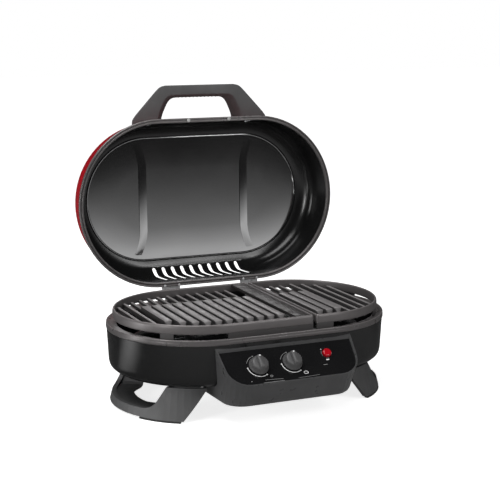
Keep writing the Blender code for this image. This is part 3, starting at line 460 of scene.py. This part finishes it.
def build_bowl_rim(finish):
    profile = [(0.1915, RIM_TOP - 0.0004, 0.0008), (0.1930, RIM_TOP, 0.0012),
               (0.1946, RIM_TOP - 0.0004, 0.0012), (0.1947, RIM_TOP - 0.0058, 0.0008),
               (0.1950, RIM_TOP - 0.0064, 0.0006), (0.1950, RIM_TOP - 0.0112, 0.0010),
               (0.1938, RIM_TOP - 0.0130, 0.0008), (0.1885, RIM_TOP - 0.0130),
               (0.1725, LEDGE_TOP - 0.0060, 0.002), (0.1720, LEDGE_TOP - 0.0010, 0.0008),
               (0.1730, LEDGE_TOP, 0.0008), (0.1850, LEDGE_TOP, 0.002),
               (0.1880, LEDGE_TOP + 0.0020, 0.002)]
    ring = swept("bowl_rim", filleted(profile, 0.0006, 3))
    settle(ring, TO_BASE, "base", [finish["rim_enamel"]], ["base_rim"])


# ---- cooking grates ----------------------------------------------------------------------
def bar_sections(x, wide):
    """One bar from front to back with its upper edges rounded."""
    reach = half_depth(x, GRATE_RADIUS - 0.003)
    thin = BAR_HALVES[0]
    half, top = BAR_HALVES[1], PLATEAU_TOP
    front = -half_depth(x, RAISED_RADIUS)
    back = min(-front, RAISED_BACK)
    if not wide:
        return rounded_bar(x, [(-reach, thin, THIN_BAR_TOP), (reach, thin, THIN_BAR_TOP)])
    stations = [(-reach, thin, BAR_END_TOP)]
    if back > 0.030:
        ends = [(front, -1), (back, 1)]
        rise = [(0.0070, 0.0, 0.0), (0.0030, 0.35, 0.30), (0.0008, 0.90, 0.86), (-0.0006, 0.98, 0.97),
                (-0.0030, 1.0, 1.0)]
        for place, way in ends:
            steps = rise if way < 0 else rise[::-1]
            for out, widening, lift in steps:
                stations.append((place + way * out, thin + (half - thin) * widening,
                                 BAR_END_TOP + (top - BAR_END_TOP) * lift))
    stations.append((reach, thin, BAR_END_TOP))
    return rounded_bar(x, stations)


def rounded_bar(x, stations):
    """Sections of a bar with rounded upper edges; each station is (y, half width, top)."""
    sections = []
    for y, w, z in stations:
        r = min(0.0014, 0.35 * w)
        ring = [(-w * 0.80, GRATE_LOW), (w * 0.80, GRATE_LOW), (w, z - r * 1.6), (w - r * 0.35, z - r * 0.5),
                (w - r * 1.2, z), (-w + r * 1.2, z), (-w + r * 0.35, z - r * 0.5), (-w, z - r * 1.6)]
        sections.append([Vector((x + dx, y, h)) for dx, h in ring])
    return sections


def band_ring(points, profile):
    """The grate's raised rim: its profile is carried along a path of (place, outward) pairs."""
    sections = []
    for place, outward in points:
        sections.append([place + outward * (d - GRATE_RADIUS) + Vector((0, 0, z)) for d, z in profile])
    return sections


def grate_path(x0, x1):
    """Closed path round one grate: its arc of the stadium, then straight across at the split."""
    side, start, end = (-1, 90, 270) if x0 < -END_CENTRE else (1, -90, 90)
    cut = x1 if side < 0 else x0
    steps = 56
    corner = 0.006
    path = []
    for i in range(steps + 1):
        angle = math.radians(start + (end - start) * i / steps)
        outward = Vector((math.cos(angle), math.sin(angle), 0))
        path.append((Vector((side * END_CENTRE, 0, 0)) + outward * GRATE_RADIUS, outward))
    (first, first_out), (last, last_out) = path[0], path[-1]
    inward = Vector((-side, 0, 0))
    path += corner_points(Vector((cut, last.y, 0)), last_out, inward, corner)
    path += corner_points(Vector((cut, first.y, 0)), inward, first_out, corner)
    return path


def corner_points(corner, out_a, out_b, radius):
    """Rounded corner between two straight sides with outward directions out_a and out_b."""
    centre = corner - out_a * radius - out_b * radius
    points = []
    for i in range(7):
        t = math.radians(15 * i)
        outward = out_a * math.cos(t) + out_b * math.sin(t)
        points.append((centre + outward * radius, outward))
    return points


def build_grate(name, x0, x1, bars, feet, skirts, strip, finish):
    low, high = GRATE_BAND
    outer, inner = GRATE_RADIUS, GRATE_RADIUS - 0.0058
    profile = filleted([(inner, low, 0.001), (outer - 0.0006, low, 0.0015), (outer, low + 0.0060, 0.004),
                        (outer - 0.0002, high - 0.0040, 0.003), (outer - 0.0022, high, 0.0022),
                        (inner + 0.0014, high - 0.0002, 0.0012), (inner, high - 0.0022, 0.0014)], 0.001, 3)
    bm = bmesh.new()
    add_loft(bm, band_ring(grate_path(x0, x1), profile), closed=True)
    for face in bm.faces:
        face.material_index = 1
    for sections in bars:
        add_loft(bm, sections)
    for sections in skirts:
        add_loft(bm, sections)
    foot, head = LEDGE_TOP + 0.0003, low + 0.002
    for centre, a0, a1 in feet:
        rings = []
        for i in range(9):
            angle = math.radians(a0 + (a1 - a0) * i / 8)
            rings.append([Vector((centre + r * math.cos(angle), r * math.sin(angle), z))
                          for r, z in ((outer - 0.0040, foot), (outer - 0.0006, foot),
                                       (outer - 0.0006, head), (outer - 0.0040, head))])
        add_loft(bm, rings)
    piece = new_object(name + "_casting", finish_mesh(bm, name + "_casting"))
    coats = [finish["cast_grate"], finish["cast_band"]]
    for coat in coats:
        piece.data.materials.append(coat)
    settle(piece, TO_BASE, name, coats, [name])
    if strip:
        plate = lofts(name + "_flat_strip", [strip])
        settle(plate, TO_BASE, name, [finish["smooth_cast"]])


def skirt_sections(x0, x1, side, depth):
    ys = sorted((side * depth, side * (depth - 0.0036)))
    return box_sections((x0, ys[0], LEDGE_TOP + 0.0003), (x1, ys[1], GRATE_BAND[0] + 0.002))


def strip_sections(x0, x1, depth):
    """The smooth flat strip beside the split, with rounded long edges."""
    low, top, r = 0.1990, 0.2056, 0.0016
    ring = [(x0, low), (x1, low), (x1, top - r), (x1 - r * 0.3, top - r * 0.3), (x1 - r, top),
            (x0 + r, top), (x0 + r * 0.3, top - r * 0.3), (x0, top - r)]
    return [[Vector((x, y, z)) for x, z in ring] for y in (-depth, depth)]


def build_grates(finish):
    left, right = GRATE_SPLIT
    depth = GRATE_RADIUS - 0.003
    strip_left = left - 0.0380
    first = strip_left - 0.0153
    bars = [bar_sections(first - BAR_PITCH * k, k < 11) for k in range(13)]
    skirts = [skirt_sections(-0.121, 0.0745, side, GRATE_RADIUS - 0.0016) for side in (-1, 1)]
    build_grate("grate_left", -END_CENTRE - GRATE_RADIUS, left, bars,
                [(-END_CENTRE, 224.2, 233.5), (-END_CENTRE, 126.5, 135.8)], skirts,
                strip_sections(strip_left, strip_left + STRIP_WIDTH, depth), finish)
    first = right + 0.0343
    bars = [bar_sections(right + 0.0145, False)]
    bars += [bar_sections(first + BAR_PITCH * k, k < 3) for k in range(7)]
    skirts = [skirt_sections(0.0830, 0.1225, side, GRATE_RADIUS - 0.0001) for side in (-1, 1)]
    build_grate("grate_right", right, END_CENTRE + GRATE_RADIUS, bars,
                [(END_CENTRE, -45.0, -36.0), (END_CENTRE, 14.0, 40.0)], skirts, None, finish)


# ---- lid ---------------------------------------------------------------------------------
def arc(centre_r, centre_z, radius, start, end, steps):
    return [(centre_r + radius * math.cos(math.radians(start + (end - start) * i / steps)),
             centre_z + radius * math.sin(math.radians(start + (end - start) * i / steps)))
            for i in range(steps + 1)]


def lid_outside(grow=0.0):
    skirt, shoulder = LID_SKIRT_RADII
    centre_r, centre_z = shoulder - LID_SHOULDER, LID_HEIGHT - LID_SHOULDER
    profile = [(skirt + grow, LID_RIM[1] + 0.0003), (skirt + grow - 0.0001, LID_RIM[1] + 0.004)]
    profile += arc(centre_r, centre_z, LID_SHOULDER + grow, 0, 90, 14)
    profile += [(0.110, LID_HEIGHT + 0.0008 + grow), (0.070, LID_HEIGHT + 0.0015 + grow),
                (0.030, LID_HEIGHT + 0.0020 + grow)]
    return profile


def lid_inside():
    """Inner profile: like the outside, with a pressed crease where the ceiling starts."""
    profile = lid_outside(-LID_SHEET)
    ceiling = LID_HEIGHT - LID_SHEET
    bend = [p for p in profile if p[0] > 0.1475]
    crease = [(0.1468, ceiling - 0.0012), (0.1455, ceiling - 0.0016), (0.1440, ceiling - 0.0014),
              (0.1428, ceiling + 0.0001)]
    return bend + crease + [p for p in profile if p[0] < 0.142]


def vent_cutter():
    """J shaped slots through the shoulder of the lid's back wall, with round ends."""
    groups = []
    path = [Vector(p) for p in ((-0.0035, 0.2740), (-0.0030, 0.2560), (-0.0008, 0.2440),
                                (0.0025, 0.2320), (0.0070, 0.2215))]
    for index in range(VENTS):
        centre = VENT_PITCH * (index - (VENTS - 1) / 2)
        half, right, left = 0.0044, [], []
        for i, spot in enumerate(path):
            along = (path[min(i + 1, len(path) - 1)] - path[max(i - 1, 0)]).normalized()
            across = Vector((-along.y, along.x)) * half
            right.append(spot + across)
            left.append(spot - across)
        ends = []
        for spot, along, start in ((path[-1], (path[-1] - path[-2]).normalized(), 1),
                                   (path[0], (path[0] - path[1]).normalized(), -1)):
            across = Vector((-along.y, along.x))
            turns = [math.radians(a) for a in (30, 60, 90, 120, 150)]
            ends.append([spot + (across * math.cos(t) + along * math.sin(t)) * half for t in turns])
        outline = right + ends[0] + left[::-1] + ends[1]
        groups.append([[Vector((centre + p.x, y, p.y)) for p in outline] for y in (0.150, 0.200)])
    return lofts("vent_cutter", groups)


def screw_cutter(radius):
    return lofts("screw_cutter", [rod_sections((side * 0.126, -0.2105, z), (side * 0.126, -0.150, z), radius)
                                  for side in (-1, 1) for z in (0.2385, 0.2530)])


def build_lid_shell(finish):
    outside = lid_outside()[::-1]
    inside = lid_inside()
    red_count = len(outside) - 1
    ceiling_from = red_count + sum(1 for r, z in inside if r > 0.1450)
    coats = [finish["red_enamel"], finish["black_enamel"], finish["ceiling_enamel"]]
    shell = swept("lid_shell_enamelled", outside + inside, closed=False,
                  material_of=lambda n: 0 if n < red_count else 1 if n < ceiling_from else 2)
    for coat in coats:
        shell.data.materials.append(coat)
    for cutter in (vent_cutter(), screw_cutter(0.0025)):
        cutter.data.materials.append(finish["black_enamel"])
        boolean(shell, cutter)
    settle(baked(shell), TO_LID, "lid", coats, ["lid_shell"])


def build_ceiling_creases(finish):
    """Two shallow pressed lines across the lid's ceiling that flare outwards at their ends."""
    height = LID_HEIGHT - LID_SHEET + 0.0003
    groups = []
    for side in (-1, 1):
        path = []
        for i in range(-12, 13):
            y = 0.132 * i / 12
            flare = max(0.0, (abs(y) - 0.070) / 0.062) ** 2 * 0.016
            path.append((side * (0.130 + flare), y))
        rings = []
        for i, (x, y) in enumerate(path):
            fade = min(1.0, min(i, len(path) - 1 - i) / 3 + 0.05)
            rings.append([Vector((x + dx, y, height - dz * fade))
                          for dx, dz in ((-0.0095, 0.0), (-0.0065, 0.00013), (-0.0030, 0.00028),
                                         (0.0030, 0.00028), (0.0065, 0.00013), (0.0095, 0.0))])
        groups.append(rings)
    piece = lofts("lid_ceiling_creases", groups)
    settle(piece, TO_LID, "lid", [finish["ceiling_enamel"]])


def build_lid_rim(finish):
    low, high = LID_RIM
    inner, outer = LID_RIM_RADII
    profile = [(inner, low + 0.0012, 0.0008), (inner + 0.0012, low, 0.0008), (inner + 0.0040, low, 0.0006),
               (inner + 0.0048, low + 0.0030, 0.0005), (inner + 0.0068, low + 0.0030, 0.0005),
               (inner + 0.0076, low, 0.0006), (outer - 0.0014, low, 0.0010),
               (outer, low + 0.0014, 0.0010), (outer, high - 0.0012, 0.0008),
               (outer - 0.0012, high, 0.0008), (inner + 0.0006, high), (inner, high - 0.0006)]
    rim = swept("lid_rim_ring", filleted(profile, 0.0004, 3))
    settle(rim, TO_LID, "lid", [finish["rim_enamel"]], ["lid_rim"])


def build_bumpers(finish):
    """Pale domed buffers on the lid's rim, where it meets the bowl."""
    low = LID_RIM[0] - 0.0003
    profile = filleted([(0.0042, low), (0.0042, low - 0.0008, 0.0003), (0.0032, low - 0.0017, 0.0006),
                        (0.0008, low - 0.0019, 0.0003)], 0.0003, 3, False)
    for side, x in (("left", -0.0505), ("right", 0.0505)):
        piece = lofts("lid_buffer_" + side, [turned_sections(profile, 28)])
        piece.data.transform(Matrix.Translation((x, -0.1898, 0)))
        settle(piece, TO_LID, "lid", [finish["pale_rubber"]], ["lid_bumper_" + side])


def handle_half(lean):
    """Half outlines of the handle arch and of its hand hole, leant inwards by lean."""
    outer = [(0.1705, -0.150, 0), (0.1705, -0.1905, 0.006), (0.1625, -0.2015, 0.008),
             (0.1085, -0.2590, 0.014), (0.0985, -0.2668, 0.006), (0.0865, -0.2690, 0.010)]
    hole = [(0.0550, -0.2450, 0.010), (0.0830, -0.2442, 0.020), (0.0985, -0.2130, 0.016),
            (0.1030, -0.1990, 0.010), (0.1130, -0.150, 0)]
    return [[(x - lean[0], y + lean[1], r) for x, y, r in half] for half in (outer, hole)]


def handle_loop(height_root, height_grip, lean, inset):
    outer, hole = handle_half(lean)
    right = filleted(outer, 0.0, 5, False)
    inner = filleted(hole, 0.0, 5, False)
    loop = right + [(-x, y) for x, y in reversed(right)]
    loop += [(-x, y) for x, y in reversed(inner)] + inner
    count = len(loop)
    moved = []
    for i, (x, y) in enumerate(loop):
        before, after = Vector(loop[i - 1]), Vector(loop[(i + 1) % count])
        along = (after - before)
        along = along.normalized() if along.length > 1e-9 else Vector((1, 0))
        inward = Vector((along.y, -along.x))
        share = min(max((-0.1905 - y) / 0.0535, 0.0), 1.0)
        z = height_root + (height_grip - height_root) * share
        moved.append(Vector((x + inward.x * inset, y + inward.y * inset, z)))
    return moved


def build_handle(finish):
    """The moulded arch with rounded edges all round, cut to the lid's shoulder."""
    r = 0.0035
    sections = [handle_loop(0.2330, 0.2330, (0.0, 0.0), r),
                handle_loop(0.2332, 0.2332, (0.0, 0.0), r * 0.55),
                handle_loop(0.2340, 0.2340, (0.0002, 0.0001), r * 0.18),
                handle_loop(0.2330 + r, 0.2330 + r, (0.0010, 0.0005), 0.0),
                handle_loop(0.2600 - r, 0.2570 - r, (0.0140, 0.0055), 0.0),
                handle_loop(0.2590, 0.2560, (0.0147, 0.0058), r * 0.18),
                handle_loop(0.2598, 0.2568, (0.0150, 0.0060), r * 0.55),
                handle_loop(0.2600, 0.2570, (0.0150, 0.0060), r)]
    bm = bmesh.new()
    add_loft(bm, sections)
    bmesh.ops.triangulate(bm, faces=[f for f in bm.faces if len(f.verts) > 4])
    handle = new_object("lid_handle_arch", finish_mesh(bm, "lid_handle_arch"))
    boolean(handle, swept("handle_trim", lid_outside(0.0004), closed=False))
    settle(baked(handle), TO_LID, "lid", [finish["handle_plastic"]], ["lid_handle"])
    ribs = []
    for i in range(13):
        x = -0.0570 + 0.0095 * i
        ribs.append(rod_sections((x, -0.2452, 0.2400), (x, -0.2408, 0.2530), 0.0022, 14))
    piece = lofts("handle_grip_ribs", ribs)
    settle(piece, TO_LID, "lid", [finish["handle_plastic"]])


# ---- control panel -----------------------------------------------------------------------
def panel_point(x, down, out):
    return Vector((x, *PANEL_TOP)) + DOWN_SLOPE * down + OUT_OF_PANEL * out


def panel_frame(x, down, out):
    """Matrix whose X is along the panel, Y up the slope and Z out of it, in the row frame."""
    axes = Matrix((Vector((1, 0, 0)), -DOWN_SLOPE, OUT_OF_PANEL)).transposed().to_4x4()
    return TO_BASE @ Matrix.Translation(panel_point(x, down, out)) @ axes


def build_knob(side, x, finish):
    """Flared skirt, tapered body and a raised grip bar with flutes and a pale pointer."""
    h = KNOB_HEIGHT
    profile = filleted([(0.0195, 0.0010, 0.0008), (0.0214, 0.0018, 0.0012), (0.0214, 0.0042, 0.0012),
                        (0.0196, 0.0068, 0.0014), (0.0180, 0.0110, 0.002), (0.0168, 0.0150, 0.0025),
                        (0.0140, 0.0165, 0.002), (0.0040, 0.0170)], 0.001, 3, False)
    bm = bmesh.new()
    add_loft(bm, turned_sections(profile))
    half_width, half_length = 0.0062, 0.0172
    rings = []
    for z, shrink in ((0.0100, 0.0), (0.0190, 0.0006), (h - 0.0022, 0.0012), (h - 0.0008, 0.0019),
                      (h, 0.0032)):
        w, d = half_width - shrink, half_length - shrink * 2.0
        corner = filleted([(w, d), (-w, d), (-w, -d), (w, -d)], 0.0034, 4)
        rings.append([Vector((px, py, z)) for px, py in corner])
    add_loft(bm, rings)
    for way in (-1, 1):
        for i in range(5):
            spot = -0.0100 + 0.0050 * i
            foot = Vector((way * (half_width - 0.0002), spot, 0.0150))
            head = Vector((way * (half_width - 0.0014), spot, h - 0.0022))
            add_loft(bm, rod_sections(foot, head, 0.0009, 10))
    for i in range(20):
        angle = 2 * math.pi * i / 20
        foot = Vector((0.0192 * math.cos(angle), 0.0192 * math.sin(angle), 0.0070))
        head = Vector((0.0167 * math.cos(angle), 0.0167 * math.sin(angle), 0.0146))
        add_loft(bm, rod_sections(foot, head, 0.0009, 8))
    piece = new_object("knob_cap_" + side, finish_mesh(bm, "knob_cap_" + side))
    place = panel_frame(x, KNOB_DOWN, FASCIA_FACE)
    settle(piece, place, "knob_" + side, [finish["knob_plastic"]], ["knob_" + side])
    dot = lofts("knob_pointer_" + side, [turned_sections([(0.0019, h - 0.0030), (0.0019, h - 0.0002),
                                                         (0.0012, h + 0.0002)], 24)])
    dot.data.transform(Matrix.Translation((0, 0.0118, 0)))
    settle(dot, place, "knob_" + side, [finish["white_print"]])


def build_button(finish):
    place = panel_frame(BUTTON_X, BUTTON_DOWN, FASCIA_FACE)
    profile = filleted([(0.0097, -0.0036), (0.0097, 0.0050, 0.0020), (0.0080, 0.0072, 0.0020),
                        (0.0050, 0.0068, 0.0015), (0.0015, 0.0064)], 0.001, 4, False)
    button = lofts("igniter_cap", [turned_sections(profile, 48)])
    settle(button, place, "button", [finish["red_plastic"]], ["igniter_button"])
    ring = filleted([(0.0105, -0.0002, 0), (0.0132, -0.0002, 0), (0.0130, 0.0010, 0.0006),
                     (0.0120, 0.0018, 0.0006), (0.0107, 0.0014, 0.0004)], 0.0004, 3)
    bm = bmesh.new()
    add_loft(bm, turned_sections(ring, 48), closed=True)
    bezel = new_object("igniter_bezel", finish_mesh(bm, "igniter_bezel"))
    settle(bezel, place, "base", [finish["gloss_black"]])


def ribbon(points, width, height=0.00022):
    """A thin raised line along points on the panel, given as (x, distance down the slope)."""
    rings = []
    for i, point in enumerate(points):
        before, after = Vector(points[max(i - 1, 0)]), Vector(points[min(i + 1, len(points) - 1)])
        along = (after - before).normalized()
        across = Vector((-along.y, along.x)) * width / 2
        ring = []
        for edge, level in ((-1, -0.0001), (1, -0.0001), (1, height), (-1, height)):
            spot = Vector(point) + across * edge
            ring.append(panel_point(spot.x, spot.y, FASCIA_FACE + level))
        rings.append(ring)
    return rings


def dial_arc(x, radius, start, end, steps=28):
    """Arc round a knob; angles run clockwise from 12 o'clock, in degrees."""
    return [(x + radius * math.sin(math.radians(start + (end - start) * i / steps)),
             KNOB_DOWN - radius * math.cos(math.radians(start + (end - start) * i / steps)))
            for i in range(steps + 1)]


def disc(x, down, radius, height=0.0003):
    return [circle(panel_point(x, down, FASCIA_FACE + level), OUT_OF_PANEL, radius, 20)
            for level in (-0.0001, height)]


def oval(x, down, half_x, half_down, steps=32):
    turns = [2 * math.pi * i / steps for i in range(steps + 1)]
    return [(x + half_x * math.cos(t), down + half_down * math.sin(t)) for t in turns]


def build_markings(finish):
    """Generic dial arcs, dots and rules printed on the fascia."""
    white, grey = [], []
    for x in KNOB_X:
        white.append(ribbon(dial_arc(x, 0.0250, 266, 150), 0.0015))
        grey.append(ribbon(dial_arc(x, 0.0255, 292, 348), 0.0009))
        for angle in (266, 150):
            spot = dial_arc(x, 0.0250, angle, angle, 1)[0]
            white.append(disc(*spot, 0.0015))
        grey.append(disc(*dial_arc(x, 0.0255, 348, 348, 1)[0], 0.0012))
    white.append(ribbon(oval(0.0237, 0.0729, 0.0048, 0.0030), 0.0013))
    grey.append(ribbon(oval(-0.0547, 0.0713, 0.0030, 0.0016), 0.0012))
    white.append(disc(0.0768, 0.0282 - 0.0060, 0.0010))
    grey.append(ribbon([(-0.0712, 0.0790), (-0.0316, 0.0809)], 0.0008))
    grey.append(ribbon([(-0.0772, 0.0855), (-0.0295, 0.0856)], 0.0010))
    grey.append(disc(-0.1018, 0.0789, 0.0011))
    grey.append(ribbon([(0.0030, 0.0838), (0.0525, 0.0823)], 0.0006))
    white.append(ribbon([(0.0800, 0.0488), (0.0868, 0.0488)], 0.0026))
    grey.append(ribbon([(0.0690, 0.0602), (0.0790, 0.0602)], 0.0010))
    for name, groups in (("white_print", white), ("grey_print", grey)):
        piece = lofts("fascia_" + name, groups)
        settle(piece, TO_BASE, "base", [finish[name]])


# ---- carried over CAD nodes ----------------------------------------------------------------
def dress_nodes(finish):
    """Gives each CAD node that is still shown its procedural finish and slightly rounded edges."""
    slots = {part["node"]: part["material_slot"] for part in frame["record"]["subparts"]}
    for name, node in frame["nodes"].items():
        if node.hide_render:
            continue
        made = finish["bright_zinc" if "screw" in name or "hinge" in name else slots[name]]
        node.data.materials.clear()
        node.data.materials.append(made)
        node.data.shade_smooth()
        node.data.set_sharp_from_angle(angle=math.radians(32))
        size = min(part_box(name)[1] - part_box(name)[0])
        if name == "control_housing":
            bevel(node, 0.0016, 4, 40)
            level = node.modifiers.new("level", "WEIGHTED_NORMAL")
            level.keep_sharp = True
        elif name.startswith("leg_") and "screw" not in name:
            bevel(node, 0.0018, 3, 40)
        elif size > 0.004:
            bevel(node, 0.0003, 2, 40)


# ---- stage, light and camera ---------------------------------------------------------------
PAINTED_REFLECTION_SPAN = (-10.0, 0.0)        # front and back of the floor's painted reflection, in y
# Painted reflection: how brightly the floor glows to glossy rays along y.
PAINTED_REFLECTION_STOPS = [(place, (light, light, light)) for place, light in
              ((0.00, 0.08), (0.04, 0.30), (0.18, 0.70), (0.25, 0.98), (0.30, 0.60), (0.36, 0.33),
               (0.40, 0.18), (0.44, 0.11), (0.46, 0.035), (0.56, 0.020))]


def floor_paper():
    """Matte pale paper that also glows a little to the camera, as an overexposed sweep does.

    Reflections see it glow, from front to back, by the stops above and in a bright pool to the left of the grill:
    a painted reflection.
    """
    n = Nodes("floor_paper")
    n.constants(Specular_IOR_Level=0.0)
    n.plug(Base_Color=n.ramp(n.noise(1.2, 2.0), shades((0.80, 0.80, 0.80), 0.985, 1.0)),
           Roughness=n.spread(n.noise(3.0, 2.0), 0.85, 0.9))
    glow = n.tree.nodes.new("ShaderNodeEmission")
    distance = n.add("ShaderNodeVectorMath", {"operation": "LENGTH"}, Vector=n.where).outputs["Value"]
    n.tree.links.new(n.spread(distance, 0.80, 1.0, 0.5, 2.2), glow.inputs["Strength"])
    seen = n.tree.nodes.new("ShaderNodeLightPath")
    total = n.tree.nodes.new("ShaderNodeAddShader")
    pick = n.tree.nodes.new("ShaderNodeMixShader")
    n.tree.links.new(n.shader.outputs[0], total.inputs[0])
    n.tree.links.new(glow.outputs[0], total.inputs[1])
    n.tree.links.new(seen.outputs["Is Camera Ray"], pick.inputs[0])
    n.tree.links.new(n.shader.outputs[0], pick.inputs[1])
    n.tree.links.new(total.outputs[0], pick.inputs[2])
    # Painted reflection: glossy rays see the floor glow by the stops along y, and in a bright pool left of the
    # grill.
    depth = n.add("ShaderNodeSeparateXYZ", {}, Vector=n.where).outputs["Y"]
    fade = n.spread(depth, 1.0, 0.0, PAINTED_REFLECTION_SPAN[0], PAINTED_REFLECTION_SPAN[1])
    around = n.add("ShaderNodeMapping", {"Location": (0.80, -0.20, 0.0), "Scale": (1.0, 2.0, 1.0)},
                   Vector=n.where).outputs["Vector"]
    away = n.add("ShaderNodeVectorMath", {"operation": "LENGTH"}, Vector=around).outputs["Value"]
    pool = n.spread(away, 2.0, 0.0, 0.10, 0.40)
    both = n.add("ShaderNodeMath", {"operation": "MAXIMUM"})
    n.tree.links.new(n.ramp(fade, PAINTED_REFLECTION_STOPS), both.inputs[0])
    n.tree.links.new(pool, both.inputs[1])
    painted_reflection_glow = n.add("ShaderNodeEmission", {}, Strength=both.outputs[0])
    last = n.add("ShaderNodeMixShader")
    n.tree.links.new(seen.outputs["Is Glossy Ray"], last.inputs[0])
    n.tree.links.new(pick.outputs[0], last.inputs[1])
    n.tree.links.new(painted_reflection_glow.outputs[0], last.inputs[2])
    n.tree.links.new(last.outputs[0], n.tree.nodes["Material Output"].inputs["Surface"])
    return n.material


def build_stage():
    bm = bmesh.new()
    corners = [bm.verts.new(p) for p in ((-12, -11, 0), (12, -11, 0), (12, 12, 0), (-12, 12, 0))]
    bm.faces.new(corners)
    floor = new_object("floor", finish_mesh(bm, "floor"))
    floor.data.materials.append(floor_paper())


def build_world():
    """White to the camera, dim to surfaces and almost dark to reflections, so that black stays black."""
    world = bpy.data.worlds.new("studio")
    bpy.context.scene.world = world
    world.use_nodes = True
    tree = world.node_tree
    path = tree.nodes.new("ShaderNodeLightPath")
    shades_of_white = {"camera": 1.0, "ambient": AMBIENT, "reflected": REFLECTED_SKY}
    made = {}
    for name, strength in shades_of_white.items():
        made[name] = tree.nodes.new("ShaderNodeBackground")
        made[name].inputs["Color"].default_value = (1.0, 1.0, 1.0, 1.0)
        made[name].inputs["Strength"].default_value = strength
    soft = tree.nodes.new("ShaderNodeMixShader")
    mix = tree.nodes.new("ShaderNodeMixShader")
    tree.links.new(path.outputs["Is Glossy Ray"], soft.inputs["Fac"])
    tree.links.new(made["ambient"].outputs[0], soft.inputs[1])
    tree.links.new(made["reflected"].outputs[0], soft.inputs[2])
    tree.links.new(path.outputs["Is Camera Ray"], mix.inputs["Fac"])
    tree.links.new(soft.outputs[0], mix.inputs[1])
    tree.links.new(made["camera"].outputs[0], mix.inputs[2])
    tree.links.new(mix.outputs["Shader"], tree.nodes["World Output"].inputs["Surface"])


def area_light(name, place, target, size, power):
    data = bpy.data.lights.new(name, "AREA")
    data.shape = "RECTANGLE"
    data.size, data.size_y = size
    data.energy = power
    lamp = bpy.data.objects.new(name, data)
    bpy.context.scene.collection.objects.link(lamp)
    lamp.location = Vector(place) + OFFSET
    way = Vector(target) + OFFSET - lamp.location
    lamp.rotation_euler = way.to_track_quat("-Z", "Y").to_euler()
    return lamp


def build_lights():
    area_light("key_top", (-0.9, -0.3, 2.9), (0, 0, 0), (2.0, 2.0), 62)
    area_light("fill_left", (-3.0, -1.4, 0.9), (0, 0, 0.1), (0.5, 0.9), 26)
    area_light("edge_glint", (1.1, -2.3, 1.5), (0, -0.2, 0.2), (0.4, 1.8), 20)
    area_light("low_left", (-1.35, 0.12, 0.14), (-0.2, -0.05, 0.10), (0.34, 0.26), 3.0)


def build_camera():
    azimuth, elevation = math.radians(CAMERA_AZIMUTH), math.radians(CAMERA_ELEVATION)
    roll = math.radians(CAMERA_ROLL)
    back = Vector((math.sin(azimuth) * math.cos(elevation), -math.cos(azimuth) * math.cos(elevation),
                   math.sin(elevation)))
    right = Vector((math.cos(azimuth), math.sin(azimuth), 0))
    up = back.cross(right)
    turned_right = right * math.cos(roll) + up * math.sin(roll)
    turned_up = up * math.cos(roll) - right * math.sin(roll)
    pose = Matrix((turned_right, turned_up, back)).transposed().to_4x4()
    pose.translation = Vector(CAMERA_TARGET) + OFFSET + back * CAMERA_DISTANCE
    data = bpy.data.cameras.new("camera")
    data.sensor_width = 36
    data.lens = CAMERA_LENS
    camera = bpy.data.objects.new("camera", data)
    bpy.context.scene.collection.objects.link(camera)
    camera.matrix_world = pose
    bpy.context.scene.camera = camera


def build():
    finish = make_materials()
    build_bowl(finish)
    build_bowl_rim(finish)
    build_grates(finish)
    build_lid_shell(finish)
    build_ceiling_creases(finish)
    build_lid_rim(finish)
    build_handle(finish)
    build_bumpers(finish)
    build_knob("left", KNOB_X[0], finish)
    build_knob("right", KNOB_X[1], finish)
    build_button(finish)
    build_markings(finish)
    dress_nodes(finish)
    build_stage()
    build_world()
    build_lights()
    build_camera()
    bpy.context.scene.view_settings.view_transform = "Standard"


build()
